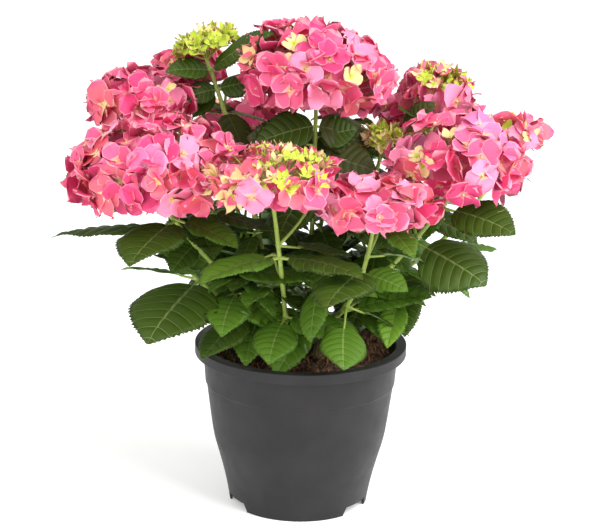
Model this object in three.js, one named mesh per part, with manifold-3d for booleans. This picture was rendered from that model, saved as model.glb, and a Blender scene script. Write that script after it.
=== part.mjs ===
// A hydrangea shrub in flower, in its round plastic pot.
// Millimetres, +Z up. The origin is the middle of the pot's flat underside, and the front is -Y.
// Canes rise from the compost and fork into shoots. Each shoot carries opposite pairs of leaves,
// every pair turned a quarter round from the one below, and most shoots end in a mophead bloom.
import * as THREE from "three";
import { mergeVertices } from "three/addons/utils/BufferGeometryUtils.js";
import Module from "manifold-3d";

const wasm = await Module();
wasm.setup();

// ---------------------------------------------------------------- driving dimensions

const CLEARANCE = 0.35; // left between any two pieces that meet

const POT = {
  height: 188,
  sides: 32,
  skin: 2.5, // thickness of the moulded wall
  footRadius: 79,
  floorHeight: 10, // the floor's underside, raised inside the skirt
  bossRadius: 30, // middle of the floor, pressed down to stand level with the skirt
  bossDraft: 2, // how much wider the boss is where it joins the floor
  bellyRadius: 98.2,
  bellyHeight: 76, // where the rounded lower wall meets the straighter upper one
  stepRadius: 106.4,
  stepHeight: 141,
  stepDepth: 1.4, // the upper band stands this much proud
  roundness: 0.4, // how much of the lower wall's widening follows a curve
  neckRadius: 111.2,
  rimRadius: 120,
  rimDrop: 11.7, // height of the hanging lip
  rimRound: 1.5,
  notchHeight: 10,
  notchSpan: 27, // degrees, at the floor
  notchFlare: 6, // degrees wider at the ground
  notchTurns: [-63, 57, 177], // degrees from the front, towards +X
  notchReach: [8, 4], // how far a cut reaches inside and outside the skirt, in wall thicknesses
};

const COMPOST = {
  sides: 16,
  level: 176,
  flatRadius: 40, // level middle, where the canes stand
  relief: 1.8,
  crumbs: [9, 11, 5.3], // lengths of the waves in its surface
  rings: [1, 0.84, 0.66], // where the surface has its rings of points, of its radius
};

// Each cane's foot on the compost, and the point where it forks into shoots.
const CANES = {
  left: { foot: [-19, -5], fork: [-42, -14, 226] },
  left_back: { foot: [-14, 16], fork: [-36, 34, 238] },
  front: { foot: [-8, -21], fork: [-15, -28, 196] },
  right: { foot: [17, -14], fork: [36, -32, 226] },
  right_back: { foot: [21, 10], fork: [50, 24, 236] },
  back: { foot: [3, 24], fork: [8, 46, 240] },
};
// lean: how far a cane's middle bows out, of its foot's offset. rise: how far it bows up.
const CANE = {
  foot: 6, top: 4.6, flare: 2.6, flareLength: 0.16, lean: 0.25, rise: 4, sides: 7, steps: 4,
};

// Each shoot bends from its cane's fork towards its tip, which is the underside of its bloom.
// pairs: opposite leaf pairs, from the fraction "first" to the fraction "last" of its length.
// turn: heading of the lowest pair, in degrees from +X towards +Y. leaf: full blade length.
const SHOOTS = {
  front: {
    cane: "front", bend: [-20, -84, 282], tip: [-33, -124, 388],
    pairs: 3, first: 0.2, last: 0.7, turn: 20, leaf: 88, stalk: true,
  },
  front_right: {
    cane: "right", bend: [66, -100, 270], tip: [76, -118, 362],
    pairs: 3, first: 0.24, last: 0.74, turn: 35, leaf: 90, stalk: true,
  },
  left_front: {
    cane: "left", bend: [-96, -48, 280], tip: [-158, -58, 366],
    pairs: 4, first: 0.22, last: 0.86, turn: 60, leaf: 96,
  },
  right_front: {
    cane: "right", bend: [92, -44, 272], tip: [168, -48, 384],
    pairs: 4, first: 0.22, last: 0.86, turn: 100, leaf: 96,
  },
  left_high: {
    cane: "left", bend: [-140, 6, 272], tip: [-186, 58, 428],
    pairs: 4, first: 0.24, last: 0.8, turn: 120, leaf: 100,
  },
  far_right: {
    cane: "right_back", bend: [168, 28, 274], tip: [236, 40, 412],
    pairs: 3, first: 0.26, last: 0.84, turn: 80, leaf: 76,
  },
  lime: {
    cane: "left_back", bend: [-62, 44, 372], tip: [-113, 60, 502],
    pairs: 5, first: 0.3, last: 0.93, turn: 10, leaf: 84,
  },
  top: {
    cane: "back", bend: [12, 18, 330], tip: [12, 10, 468],
    pairs: 4, first: 0.3, last: 0.8, turn: 114, leaf: 92, stalk: true,
  },
  right_high: {
    cane: "right_back", bend: [118, 60, 330], tip: [150, 70, 446],
    pairs: 4, first: 0.3, last: 0.88, turn: 75, leaf: 88,
  },
  left_low: {
    cane: "left", bend: [-84, -22, 232], tip: [-122, -34, 276],
    pairs: 2, first: 0.5, last: 0.92, turn: 150, leaf: 92,
  },
  right_low: {
    cane: "right_back", bend: [88, 6, 234], tip: [116, -8, 252],
    pairs: 2, first: 0.5, last: 0.92, turn: 5, leaf: 78,
  },
  left_behind: {
    cane: "left_back", bend: [-92, 82, 350], tip: [-132, 112, 470],
    pairs: 4, first: 0.3, last: 0.84, turn: 70, leaf: 90,
  },
  bud: {
    cane: "back", bend: [70, 30, 320], tip: [88, 28, 408],
    pairs: 4, first: 0.3, last: 0.86, turn: 30, leaf: 80, stalk: true,
  },
  back_left: {
    cane: "left_back", bend: [-58, 132, 292], tip: [-66, 168, 368],
    pairs: 4, first: 0.24, last: 0.86, turn: 15, leaf: 98,
  },
  back_middle: {
    cane: "back", bend: [30, 140, 330], tip: [40, 182, 420],
    pairs: 4, first: 0.24, last: 0.84, turn: 40, leaf: 96,
  },
  back_right: {
    cane: "right_back", bend: [126, 124, 310], tip: [150, 160, 388],
    pairs: 4, first: 0.26, last: 0.86, turn: 65, leaf: 98,
  },
};
const SHOOT = { foot: 2.9, top: 2.2, sides: 5, steps: 2 };

// Leaves that stand out take the place of the ruled leaf nearest to them.
// on: shoot, at: fraction of its length, turn: heading, lift: degrees up, long: blade, neck: leaf
// stalk, wide: blade width as a fraction of its length, roll: degrees turned about its midrib.
const OUTER_LEAVES = [
  { on: "left_high", at: 0.5, turn: 172, lift: -1, long: 119, neck: 34, wide: 0.54, roll: 4 },
  { on: "left_front", at: 0.84, turn: -112, lift: -6, long: 86, neck: 18, wide: 0.88 },
  { on: "left_front", at: 0.46, turn: 172, lift: 24, long: 60, neck: 6, wide: 0.8, roll: -52 },
  { on: "left_front", at: 0.24, turn: -100, lift: -5, long: 76, neck: 26 },
  { on: "left_front", at: 0.4, turn: -18, lift: 8, long: 92, neck: 22 },
  { on: "left_front", at: 0.04, turn: -128, lift: -12, long: 78, neck: 30 },
  { on: "left_low", at: 0.9, turn: 148, lift: 2, long: 86, neck: 20, wide: 0.5, roll: 12 },
  { on: "left_low", at: 0.88, turn: -116, lift: -14, long: 100, neck: 14, wide: 1 },
  { on: "front", at: 0.62, turn: -134, lift: 4, long: 96, neck: 20 },
  { on: "front", at: 0.62, turn: -40, lift: 7, long: 92, neck: 20 },
  { on: "front", at: 0.2, turn: -104, lift: -12, long: 66, neck: 20, wide: 0.78 },
  { on: "front", at: 0.2, turn: -36, lift: 4, long: 86, neck: 12, roll: 10 },
  { on: "front_right", at: 0.62, turn: -112, lift: 1, long: 92, neck: 16, wide: 0.72 },
  { on: "front_right", at: 0.24, turn: -94, lift: -20, long: 60, neck: 42, wide: 0.84 },
  { on: "front_right", at: 0.5, turn: 160, lift: 10, long: 62, neck: 8, wide: 0.7, roll: -40 },
  { on: "front_right", at: 0.6, turn: -44, lift: 0, long: 54, neck: 8, wide: 0.66, roll: 34 },
  { on: "right_front", at: 0.62, turn: -39, lift: -13, long: 80, neck: 18, wide: 1, roll: 30 },
  { on: "right_front", at: 0.86, turn: -44, lift: 0, long: 80, neck: 20, wide: 0.7, roll: 28 },
  { on: "right_front", at: 0.43, turn: 8, lift: -14, long: 48, neck: 16, wide: 0.66 },
  { on: "right_front", at: 0.06, turn: -16, lift: 22, long: 84, neck: 20, wide: 0.5, roll: 20 },
  { on: "right_low", at: 0.35, turn: -72, lift: -12, long: 64, neck: 26 },
  { on: "right_low", at: 0.9, turn: -100, lift: -20, long: 66, neck: 22, wide: 0.5 },
  { on: "right_low", at: 0.9, turn: 75, lift: -34, long: 52, neck: 22, wide: 0.5 },
  { on: "far_right", at: 0.84, turn: 215, lift: 10, long: 44, neck: 8, wide: 0.6 },
  { on: "far_right", at: 0.44, turn: 38, lift: -6, long: 68, neck: 30 },
  { on: "lime", at: 0.94, turn: -57, lift: 31, long: 106, neck: 14, wide: 0.34, roll: 56 },
  { on: "lime", at: 0.94, turn: -148, lift: 10, long: 50, neck: 4, wide: 0.62, roll: -44 },
  { on: "lime", at: 0.86, turn: -156, lift: -6, long: 36, neck: 3, wide: 0.8, roll: -50 },
  { on: "lime", at: 0.86, turn: -12, lift: 18, long: 40, neck: 5, wide: 0.85, roll: 45 },
  { on: "lime", at: 0.78, turn: -52, lift: -42, long: 60, neck: 10, wide: 0.8 },
  { on: "lime", at: 0.62, turn: -120, lift: -20, long: 78, neck: 16, wide: 0.72 },
  { on: "top", at: 0.76, turn: -168, lift: 10, long: 66, neck: 10, wide: 0.8, roll: -56 },
  { on: "top", at: 0.72, turn: -24, lift: -6, long: 60, neck: 12, wide: 0.95, roll: 52 },
  { on: "top", at: 0.8, turn: 4, lift: 14, long: 44, neck: 4, wide: 0.9, roll: 50 },
  { on: "top", at: 0.86, turn: 14, lift: -14, long: 72, neck: 4, wide: 0.74, roll: 46 },
  { on: "top", at: 0.86, turn: 196, lift: -8, long: 68, neck: 3, wide: 0.74, roll: -48 },
  { on: "top", at: 0.58, turn: -120, lift: -24, long: 84, neck: 18, wide: 0.7 },
  { on: "top", at: 0.52, turn: -40, lift: -22, long: 88, neck: 20, wide: 0.7 },
  { on: "bud", at: 0.7, turn: -76, lift: -34, long: 76, neck: 12, wide: 0.7 },
  { on: "bud", at: 0.5, turn: -140, lift: -20, long: 84, neck: 18, wide: 0.7 },
  { on: "bud", at: 0.86, turn: 176, lift: 20, long: 84, neck: 10, wide: 0.56, roll: -62 },
  { on: "bud", at: 0.94, turn: -13, lift: 52, long: 44, neck: 44, wide: 0.72, roll: 60 },
  { on: "right_high", at: 0.86, turn: -124, lift: 40, long: 56, neck: 18, wide: 0.6, roll: -24 },
];
const LEAF = {
  neck: 22, // length of the leaf stalk
  width: 0.68, // of the length
  thick: 8, // in the middle of the pad
  sag: 0.12, // how far the tip bends down, of the length
  low: -18, // lift in degrees of a shoot's lowest pair
  high: 2, // and of its highest
  lowSize: 0.86, // size of a shoot's lowest pair
  highSize: 0.74, // and of its highest
  outward: 0.5, // least share of a ruled leaf's length that it reaches out for a pad of its own
  crest: 0.4, // where the pad is thickest, of its length
  nearness: 300, // degrees of heading that count as much as a shoot's whole length of height
};
// Half width of a blade, of its full width, at fractions of its length.
const LEAF_OUTLINE = [[0.05, 0.2], [0.38, 0.5], [0.76, 0.32]];
// The core of a mass along its stem: radius in the middle, and at the ends as a share of that.
const CORE = { radius: 20, ends: 0.55, unevenness: 0.18, twist: 14, margin: 0.8, sides: 5, steps: 4 };

// Each bloom sits on its shoot's tip: half width, height above its widest ring and depth below it.
// lean: how far its crown lies to one side, along X.
const BLOOMS = {
  top: { wide: 84, high: 60, deep: 46, lean: -20 },
  left_front: { wide: 94, high: 62, deep: 54 },
  right_front: { wide: 76, high: 54, deep: 48, lean: -4 },
  front: { wide: 76, high: 36, deep: 34 },
  front_right: { wide: 66, high: 34, deep: 32 },
  left_high: { wide: 64, high: 40, deep: 40, lean: 10 },
  right_high: { wide: 46, high: 34, deep: 32, lean: -8 },
  far_right: { wide: 39, high: 24, deep: 24, lean: -4 },
  lime: { wide: 31, high: 20, deep: 17 },
  left_behind: { wide: 42, high: 26, deep: 26 },
  bud: { wide: 20, high: 13, deep: 14 },
  back_left: { wide: 66, high: 46, deep: 40 },
  back_middle: { wide: 68, high: 46, deep: 42 },
  back_right: { wide: 60, high: 44, deep: 40 },
};
// lowest: how far round from the crown the side reaches, in half turns. underside: height of the
// widest ring above the tip, of the depth below it.
const BLOOM = { sides: 9, rings: 5, lowest: 0.68, underside: 0.62, unevenness: 0.042 };

const FINISH = {
  pot: { color: 0x454446, roughness: 0.45 },
  soil: { color: 0x3a2a20, roughness: 0.95 },
  cane: { color: 0x7d6f4c, roughness: 0.8 },
  shoot: { color: 0x8fa855, roughness: 0.6 },
  leaves: { color: 0x2f5a2c, roughness: 0.5 },
  bloom: { color: 0xe35c93, roughness: 0.6 },
  lime: { color: 0xb9cf4a, roughness: 0.6 },
};

// ---------------------------------------------------------------- geometry helpers

const vec = (x, y, z) => new THREE.Vector3(x, y, z);
const radians = THREE.MathUtils.degToRad;
const mix = THREE.MathUtils.lerp;

// A point at a radius and a heading, where 0 degrees is +X.
function polar(radius, degrees, z) {
  return vec(radius * Math.cos(radians(degrees)), radius * Math.sin(radians(degrees)), z);
}

// The unit direction of a heading and a lift, both in degrees.
function heading(turn, lift) {
  return polar(Math.cos(radians(lift)), turn, Math.sin(radians(lift)));
}

// A closed skin over rings of points. A ring of one point is a pole, and open ends get a fan.
function skin(rings) {
  const closed = [...rings];
  const middle = (ring) => [ring.reduce((sum, p) => sum.add(p), vec(0, 0, 0)).divideScalar(ring.length)];
  if (closed[0].length > 1) closed.unshift(middle(closed[0]));
  if (closed.at(-1).length > 1) closed.push(middle(closed.at(-1)));
  const triangles = [];
  for (let i = 0; i + 1 < closed.length; i++) {
    const [a, b] = [closed[i], closed[i + 1]];
    const count = Math.max(a.length, b.length);
    for (let k = 0; k < count; k++) {
      const [a0, a1] = [a[k % a.length], a[(k + 1) % a.length]];
      const [b0, b1] = [b[k % b.length], b[(k + 1) % b.length]];
      if (a.length > 1) triangles.push(a0, a1, b0);
      if (b.length > 1) triangles.push(a1, b1, b0);
    }
  }
  return new THREE.BufferGeometry().setFromPoints(triangles);
}

// A closed geometry as a boolean solid, turned inside out if its faces point inwards.
function solid(geometry) {
  const bare = new THREE.BufferGeometry();
  const flat = geometry.index ? geometry.toNonIndexed() : geometry;
  bare.setAttribute("position", flat.getAttribute("position"));
  const merged = mergeVertices(bare, 1e-4);
  const triVerts = new Uint32Array(merged.index.array);
  const vertProperties = merged.attributes.position.array;
  const build = () => new wasm.Manifold(new wasm.Mesh({ numProp: 3, vertProperties, triVerts }));
  const first = build();
  if (first.volume() > 0) return first;
  triVerts.reverse();
  return build();
}

// A boolean solid as a geometry for a mesh.
function geometryOf(shape) {
  const { vertProperties, triVerts } = shape.getMesh();
  const geometry = new THREE.BufferGeometry();
  geometry.setAttribute("position", new THREE.BufferAttribute(vertProperties, 3));
  geometry.setIndex(new THREE.BufferAttribute(triVerts, 1));
  geometry.computeVertexNormals();
  return geometry;
}

// The largest of the bodies that cutting has left.
function largest(shape) {
  const bodies = shape.decompose();
  return bodies.reduce((best, body) => (body.volume() > best.volume() ? body : best));
}

const join = (shapes) => shapes.reduce((whole, shape) => whole.add(shape));

// A round limb along a curve between two fractions of its length.
function limb(curve, [from, to], radiusAt, { sides, steps }) {
  const rings = [];
  for (let i = 0; i <= steps; i++) {
    const at = THREE.MathUtils.clamp(mix(from, to, i / steps), 0, 1);
    const centre = curve.getPointAt(at);
    const along = curve.getTangentAt(at);
    const across = vec(1, 0, 0).addScaledVector(along, -along.x).normalize();
    const out = vec(0, 0, 0).crossVectors(along, across);
    rings.push(Array.from({ length: sides }, (_, k) => {
      const angle = (2 * Math.PI * k) / sides;
      const radius = radiusAt(at, angle);
      return centre.clone()
        .addScaledVector(across, radius * Math.cos(angle))
        .addScaledVector(out, radius * Math.sin(angle));
    }));
  }
  return rings;
}

// ---------------------------------------------------------------- pot and compost

const FLOOR = POT.floorHeight + POT.skin;
const NECK = POT.height - POT.skin;

// Outer radius of the wall under its step, at a height: rounded below the belly, straight above.
function wallRadius(z) {
  if (z > POT.bellyHeight) {
    const share = (z - POT.bellyHeight) / (POT.stepHeight - POT.bellyHeight);
    return mix(POT.bellyRadius, POT.stepRadius, share);
  }
  const share = z / POT.bellyHeight;
  return POT.footRadius + (POT.bellyRadius - POT.footRadius) * mix(share, share * share, POT.roundness);
}

const WALL_HEIGHTS = [POT.bellyHeight / 2, POT.bellyHeight];

function potProfile() {
  const inner = (z) => wallRadius(z) - POT.skin;
  const proud = POT.stepRadius + POT.stepDepth;
  const lip = POT.height - POT.rimDrop;
  return [
    [0, 0],
    [POT.bossRadius, 0],
    [POT.bossRadius + POT.bossDraft, POT.floorHeight],
    [POT.footRadius - POT.skin, POT.floorHeight],
    [POT.footRadius - POT.skin, 0],
    [POT.footRadius, 0],
    ...WALL_HEIGHTS.map((z) => [wallRadius(z), z]),
    [POT.stepRadius, POT.stepHeight],
    [proud, POT.stepHeight + POT.stepDepth],
    [POT.neckRadius, NECK],
    [POT.rimRadius - POT.skin, NECK],
    [POT.rimRadius - POT.skin, lip],
    [POT.rimRadius, lip],
    [POT.rimRadius, POT.height - POT.rimRound],
    [POT.rimRadius - POT.rimRound, POT.height],
    [POT.neckRadius - POT.skin + POT.rimRound, POT.height],
    [POT.neckRadius - POT.skin, POT.height - POT.rimRound],
    [proud - POT.skin, POT.stepHeight + POT.stepDepth],
    ...WALL_HEIGHTS.toReversed().map((z) => [inner(z), z]),
    [inner(FLOOR), FLOOR],
    [POT.bossRadius, FLOOR],
    [POT.bossRadius - POT.skin, POT.skin],
    [0, POT.skin],
  ];
}

// A tapering block that cuts one drainage notch out of the skirt, up to the floor.
function notch(turn) {
  const reach = [
    POT.footRadius - POT.notchReach[0] * POT.skin,
    POT.footRadius + POT.notchReach[1] * POT.skin,
  ];
  const corners = (z, span) => [
    polar(reach[0], turn - span / 2, z), polar(reach[1], turn - span / 2, z),
    polar(reach[1], turn + span / 2, z), polar(reach[0], turn + span / 2, z),
  ];
  const below = -POT.skin;
  const ceiling = POT.notchHeight - 0.01 * POT.skin;
  return solid(skin([corners(below, POT.notchSpan + POT.notchFlare), corners(ceiling, POT.notchSpan)]));
}

function pot() {
  const profile = potProfile().map(([r, z]) => new THREE.Vector2(r, z));
  const shell = solid(new THREE.LatheGeometry(profile, POT.sides).rotateX(Math.PI / 2));
  return POT.notchTurns.reduce((rest, turn) => rest.subtract(notch(turn - 90)), shell);
}

// Height of the compost's surface, level in the middle and crumbly outside it.
function compostHeight(x, y) {
  const share = THREE.MathUtils.smoothstep(Math.hypot(x, y), COMPOST.flatRadius, 2 * COMPOST.flatRadius);
  const [long, cross, short] = COMPOST.crumbs;
  const crumbs = Math.sin(x / long) * Math.cos(y / cross) + 0.6 * Math.sin((x + y) / short);
  return COMPOST.level + share * COMPOST.relief * crumbs;
}

function compost() {
  const bed = FLOOR + CLEARANCE;
  const inside = (z) => wallRadius(z) - POT.skin - 2 * CLEARANCE;
  const plug = POT.bossRadius - POT.skin - CLEARANCE;
  const top = POT.neckRadius - POT.skin - 4 * CLEARANCE - (NECK - COMPOST.level) / 10;
  const ring = (radius, z) => Array.from({ length: COMPOST.sides }, (_, k) => {
    const point = polar(radius, (360 * k) / COMPOST.sides, z);
    return z === COMPOST.level ? point.setZ(compostHeight(point.x, point.y)) : point;
  });
  const surface = [...COMPOST.rings.map((share) => share * top), COMPOST.flatRadius];
  return solid(skin([
    ring(plug, POT.skin + CLEARANCE),
    ring(plug, bed),
    ring(inside(FLOOR), bed),
    ...WALL_HEIGHTS.map((z) => ring(inside(z), z)),
    ring(inside(POT.stepHeight), POT.stepHeight),
    ...surface.map((radius) => ring(radius, COMPOST.level)),
  ]));
}

// ---------------------------------------------------------------- canes and shoots

// A cane is cut flat where it stands on the compost, and flares a little there.
function cane({ foot, fork }, grow) {
  const base = vec(foot[0], foot[1], COMPOST.level + CLEARANCE - grow);
  const bow = vec(foot[0] * CANE.lean, foot[1] * CANE.lean, CANE.rise);
  const middle = base.clone().lerp(vec(...fork), 0.5).add(bow);
  const curve = new THREE.QuadraticBezierCurve3(base, middle, vec(...fork));
  const radiusAt = (at) =>
    mix(CANE.foot, CANE.top, at) + CANE.flare * Math.exp(-at / CANE.flareLength) + grow;
  const rings = limb(curve, [0, 1], radiusAt, CANE);
  rings[0].forEach((point) => point.setZ(base.z));
  const dome = curve.getTangentAt(1).multiplyScalar(CANE.top + grow).add(vec(...fork));
  return solid(skin([...rings, [dome]]));
}

const shootCurve = (shoot) => new THREE.QuadraticBezierCurve3(
  vec(...CANES[shoot.cane].fork), vec(...shoot.bend), vec(...shoot.tip));

const shootRadius = (at, grow) => mix(SHOOT.foot, SHOOT.top, at) + grow;

// The bare lower length of a shoot ends just inside its leaves.
function bareShoot(shoot, grow) {
  const curve = shootCurve(shoot);
  const end = shoot.first + grow / curve.getLength();
  return solid(skin(limb(curve, [0, end], (at) => shootRadius(at, grow), SHOOT)));
}

// The flower stalk runs from just inside the leaves to just under the bloom.
function flowerStalk(shoot, grow) {
  const curve = shootCurve(shoot);
  const slack = grow / curve.getLength();
  const span = [shoot.last - slack, 1 + slack];
  return solid(skin(limb(curve, span, (at) => shootRadius(at, grow), SHOOT)));
}

// ---------------------------------------------------------------- leaves

// A shoot's opposite pairs, each a quarter turn on from the last, by height, heading and size.
function ruledLeaves(shoot) {
  const leaves = [];
  for (let pair = 0; pair < shoot.pairs; pair++) {
    const share = pair / (shoot.pairs - 1);
    const at = mix(shoot.first, shoot.last, share);
    const size = share < 0.5 ? mix(LEAF.lowSize, 1, 2 * share) : mix(1, LEAF.highSize, 2 * share - 1);
    for (const side of [0, 180])
      leaves.push({
        at, turn: shoot.turn + 90 * pair + side, lift: mix(LEAF.low, LEAF.high, share),
        long: shoot.leaf * size, neck: LEAF.neck,
      });
  }
  return leaves;
}

const turnBetween = (a, b) => Math.abs(THREE.MathUtils.euclideanModulo(a - b + 180, 360) - 180);

// The ruled leaves, where each outer leaf takes the place of the one nearest in height and heading.
function leavesOf(name, shoot) {
  const leaves = ruledLeaves(shoot);
  for (const outer of OUTER_LEAVES.filter((leaf) => leaf.on === name)) {
    const distance = (leaf) =>
      LEAF.nearness * Math.abs(leaf.at - outer.at) + turnBetween(leaf.turn, outer.turn);
    const free = leaves.filter((leaf) => !leaf.on);
    const nearest = free.reduce((best, leaf) => (distance(leaf) < distance(best) ? leaf : best));
    leaves[leaves.indexOf(nearest)] = outer;
  }
  return leaves;
}

// A pad in a leaf's outline: a neck from the stem, then a blade that is thickest in the middle.
function leafPad(curve, leaf, grow) {
  const ahead = heading(leaf.turn, leaf.lift);
  const roll = THREE.MathUtils.degToRad(leaf.roll ?? 0);
  const side = heading(leaf.turn + 90, 0).applyAxisAngle(ahead, roll);
  const up = vec(0, 0, 0).crossVectors(ahead, side);
  const stem = curve.getPointAt(leaf.at);
  const spot = (share, half, height) => stem.clone()
    .addScaledVector(ahead, leaf.neck + share * leaf.long)
    .addScaledVector(side, half * leaf.long * (leaf.wide ?? LEAF.width) + Math.sign(half) * grow)
    .addScaledVector(up, height - LEAF.sag * leaf.long * share * share);
  const rim = (height) => [
    spot(-leaf.neck / leaf.long, 0, height),
    ...LEAF_OUTLINE.map(([share, half]) => spot(share, half, height)),
    spot(1 + grow / leaf.long, 0, height),
    ...LEAF_OUTLINE.toReversed().map(([share, half]) => spot(share, -half, height)),
  ];
  const edges = grow ? [rim(grow), rim(-grow)] : [rim(0)];
  const crest = LEAF.thick / 2 + grow;
  return solid(skin([[spot(LEAF.crest, 0, crest)], ...edges, [spot(LEAF.crest, 0, -crest)]]));
}

// A leaf that points back into the crown is inside the mass, so it has no pad of its own.
function pointsOut(curve, leaf) {
  const stem = curve.getPointAt(leaf.at);
  const tip = stem.clone().addScaledVector(heading(leaf.turn, 0), leaf.long);
  return Math.hypot(tip.x, tip.y) > Math.hypot(stem.x, stem.y) + LEAF.outward * leaf.long;
}

// The mass of leaves on one shoot: a pad for each leaf round an uneven core along the stem.
function leafMass(name, shoot, grow) {
  const curve = shootCurve(shoot);
  const margin = (CORE.margin * CORE.radius) / curve.getLength();
  const end = shoot.stalk || !BLOOMS[name] ? shoot.last + margin : 1;
  const span = [shoot.first - margin, end];
  const radiusAt = (at, angle) => {
    const swell = Math.sin((Math.PI * (at - span[0])) / (span[1] - span[0]));
    const uneven = 1 + CORE.unevenness * Math.sin(3 * angle + CORE.twist * at);
    return CORE.radius * mix(CORE.ends, 1, swell) * uneven + grow;
  };
  const core = solid(skin(limb(curve, span, radiusAt, CORE)));
  const leaves = leavesOf(name, shoot).filter((leaf) => leaf.on || pointsOut(curve, leaf));
  return join([core, ...leaves.map((leaf) => leafPad(curve, leaf, grow))]);
}

// ---------------------------------------------------------------- blooms

// A mophead: a full dome that carries on below its widest ring and closes in a shallow dish.
function bloom(name, shoot, grow) {
  const { wide, high, deep, lean = 0 } = BLOOMS[name];
  const centre = vec(...shoot.tip).add(vec(0, 0, deep * BLOOM.underside));
  const phase = wide + high;
  const lowest = BLOOM.lowest * Math.PI;
  const rings = [[centre.clone().add(vec(lean, 0, high + grow))]];
  for (let i = 1; i <= BLOOM.rings; i++) {
    const tilt = (lowest * i) / BLOOM.rings;
    const rise = Math.cos(tilt) * (tilt < Math.PI / 2 ? high : deep);
    rings.push(Array.from({ length: BLOOM.sides }, (_, k) => {
      const turn = (2 * Math.PI * k) / BLOOM.sides;
      const lumps = Math.sin(3 * turn + phase) + Math.sin(5 * turn - 2 * tilt + phase);
      const swell = 1 + BLOOM.unevenness * lumps;
      const radius = Math.sin(tilt) * wide * swell + grow;
      const shift = lean * Math.max(0, Math.cos(tilt));
      return centre.clone()
        .add(vec(shift + radius * Math.cos(turn), radius * Math.sin(turn), rise * swell));
    }));
  }
  const dish = centre.clone().add(vec(0, 0, -deep * BLOOM.underside + CLEARANCE - grow));
  return solid(skin([...rings, [dish]]));
}

// ---------------------------------------------------------------- assembly

const plant = new THREE.Group();
const placed = []; // every finished piece's grown shape, which later pieces are cut back from

// Adds a piece, cut back from all that is already there, and keeps it as one body.
function place(name, finish, shapeAt) {
  const cleared = placed.reduce((rest, other) => rest.subtract(other), shapeAt(0));
  const body = largest(cleared);
  placed.push(shapeAt(CLEARANCE));
  const mesh = new THREE.Mesh(geometryOf(body), new THREE.MeshStandardMaterial(FINISH[finish]));
  mesh.name = name;
  plant.add(mesh);
}

function addWhole(name, finish, shape) {
  const mesh = new THREE.Mesh(geometryOf(shape), new THREE.MeshStandardMaterial(FINISH[finish]));
  mesh.name = name;
  plant.add(mesh);
}

addWhole("pot", "pot", pot());
addWhole("soil", "soil", compost());
for (const [name, row] of Object.entries(CANES))
  place(`cane_${name}`, "cane", (grow) => cane(row, grow));
for (const [name, shoot] of Object.entries(SHOOTS))
  place(`shoot_${name}`, "shoot", (grow) => bareShoot(shoot, grow));
for (const [name, shoot] of Object.entries(SHOOTS))
  if (shoot.stalk) place(`stalk_${name}`, "shoot", (grow) => flowerStalk(shoot, grow));
for (const name of Object.keys(BLOOMS))
  place(`bloom_${name}`, name === "lime" || name === "bud" ? "lime" : "bloom",
    (grow) => bloom(name, SHOOTS[name], grow));
for (const [name, shoot] of Object.entries(SHOOTS))
  place(`leaves_${name}`, "leaves", (grow) => leafMass(name, shoot, grow));

export default plant;
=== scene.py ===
"""The looks of a potted hydrangea shrub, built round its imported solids.

Canes rise from the compost and fork into shoots, the shoots carry opposite pairs of toothed
leaves, short twigs grow from the leaf axils, and most shoots end in a mophead of florets.
Lengths in the tables are millimetres, and every mesh is written out in metres.
"""

import bpy
import numpy as np
from mathutils import Matrix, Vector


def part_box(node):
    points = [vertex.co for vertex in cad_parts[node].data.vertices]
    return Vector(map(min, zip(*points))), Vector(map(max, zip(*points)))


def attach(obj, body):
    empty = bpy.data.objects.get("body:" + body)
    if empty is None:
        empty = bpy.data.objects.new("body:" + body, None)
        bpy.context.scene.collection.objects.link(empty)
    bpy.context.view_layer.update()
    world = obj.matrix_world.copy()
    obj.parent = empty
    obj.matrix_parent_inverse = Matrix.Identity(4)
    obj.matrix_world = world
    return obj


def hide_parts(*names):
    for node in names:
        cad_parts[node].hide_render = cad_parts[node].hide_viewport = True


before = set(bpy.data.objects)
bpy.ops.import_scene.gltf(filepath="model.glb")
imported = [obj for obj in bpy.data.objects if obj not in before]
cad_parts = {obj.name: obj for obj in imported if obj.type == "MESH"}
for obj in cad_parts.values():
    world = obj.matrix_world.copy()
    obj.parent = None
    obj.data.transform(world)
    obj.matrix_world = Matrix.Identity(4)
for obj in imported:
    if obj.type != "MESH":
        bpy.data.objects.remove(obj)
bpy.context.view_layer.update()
POT_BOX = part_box("pot")

bl_info = {
    "name": "Potted hydrangea",
    "version": (1, 0, 0),
    "blender": (4, 5, 0),
    "location": "3D View > Sidebar > Hydrangea",
    "description": "Builds a mophead hydrangea shrub in its pot, piece by piece",
    "category": "Add Mesh",
}

MM = 0.001
TURN = 2 * np.pi
GOLDEN = np.radians(137.508)  # turn between neighbours in a natural spiral

# ---------------------------------------------------------------- sizes shared with the solids

# Profile of the pot: radii, heights and (radius, height) pairs named as the moulded parts are. The
# corners are rounded, the inner wall starts a fillet over the floor, and the wall's rings stand
# between the two heights of eased.
POT = {
    "skin": 2.5,
    "foot": 79.0,
    "floor": 10.0,
    "boss": 30.0,
    "boss_draft": 2.0,
    "belly": (98.2, 76.0),
    "step": (106.4, 141.0),
    "step_depth": 1.4,
    "roundness": 0.4,
    "neck": 111.2,
    "rim_drop": 11.7,
    "rounding": 1.0,
    "fillet": 3.0,
    "eased": (4.0, 116.0),
    "notch_height": 10.0,
    "notch_span": 27.0,
    "notch_flare": 6.0,
    "notch_turns": (-63.0, 57.0, 177.0),
}
BED_GAP = 0.4  # left between the compost and the pot
BELLY_EASE = 2.6  # how far the corner at the belly is eased
COMPOST = {"level": 176.0, "flat": 40.0, "relief": 1.8, "crumbs": (9.0, 11.0, 5.3),
           "side_gap": 0.5, "side_ring": 44.0}

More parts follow.
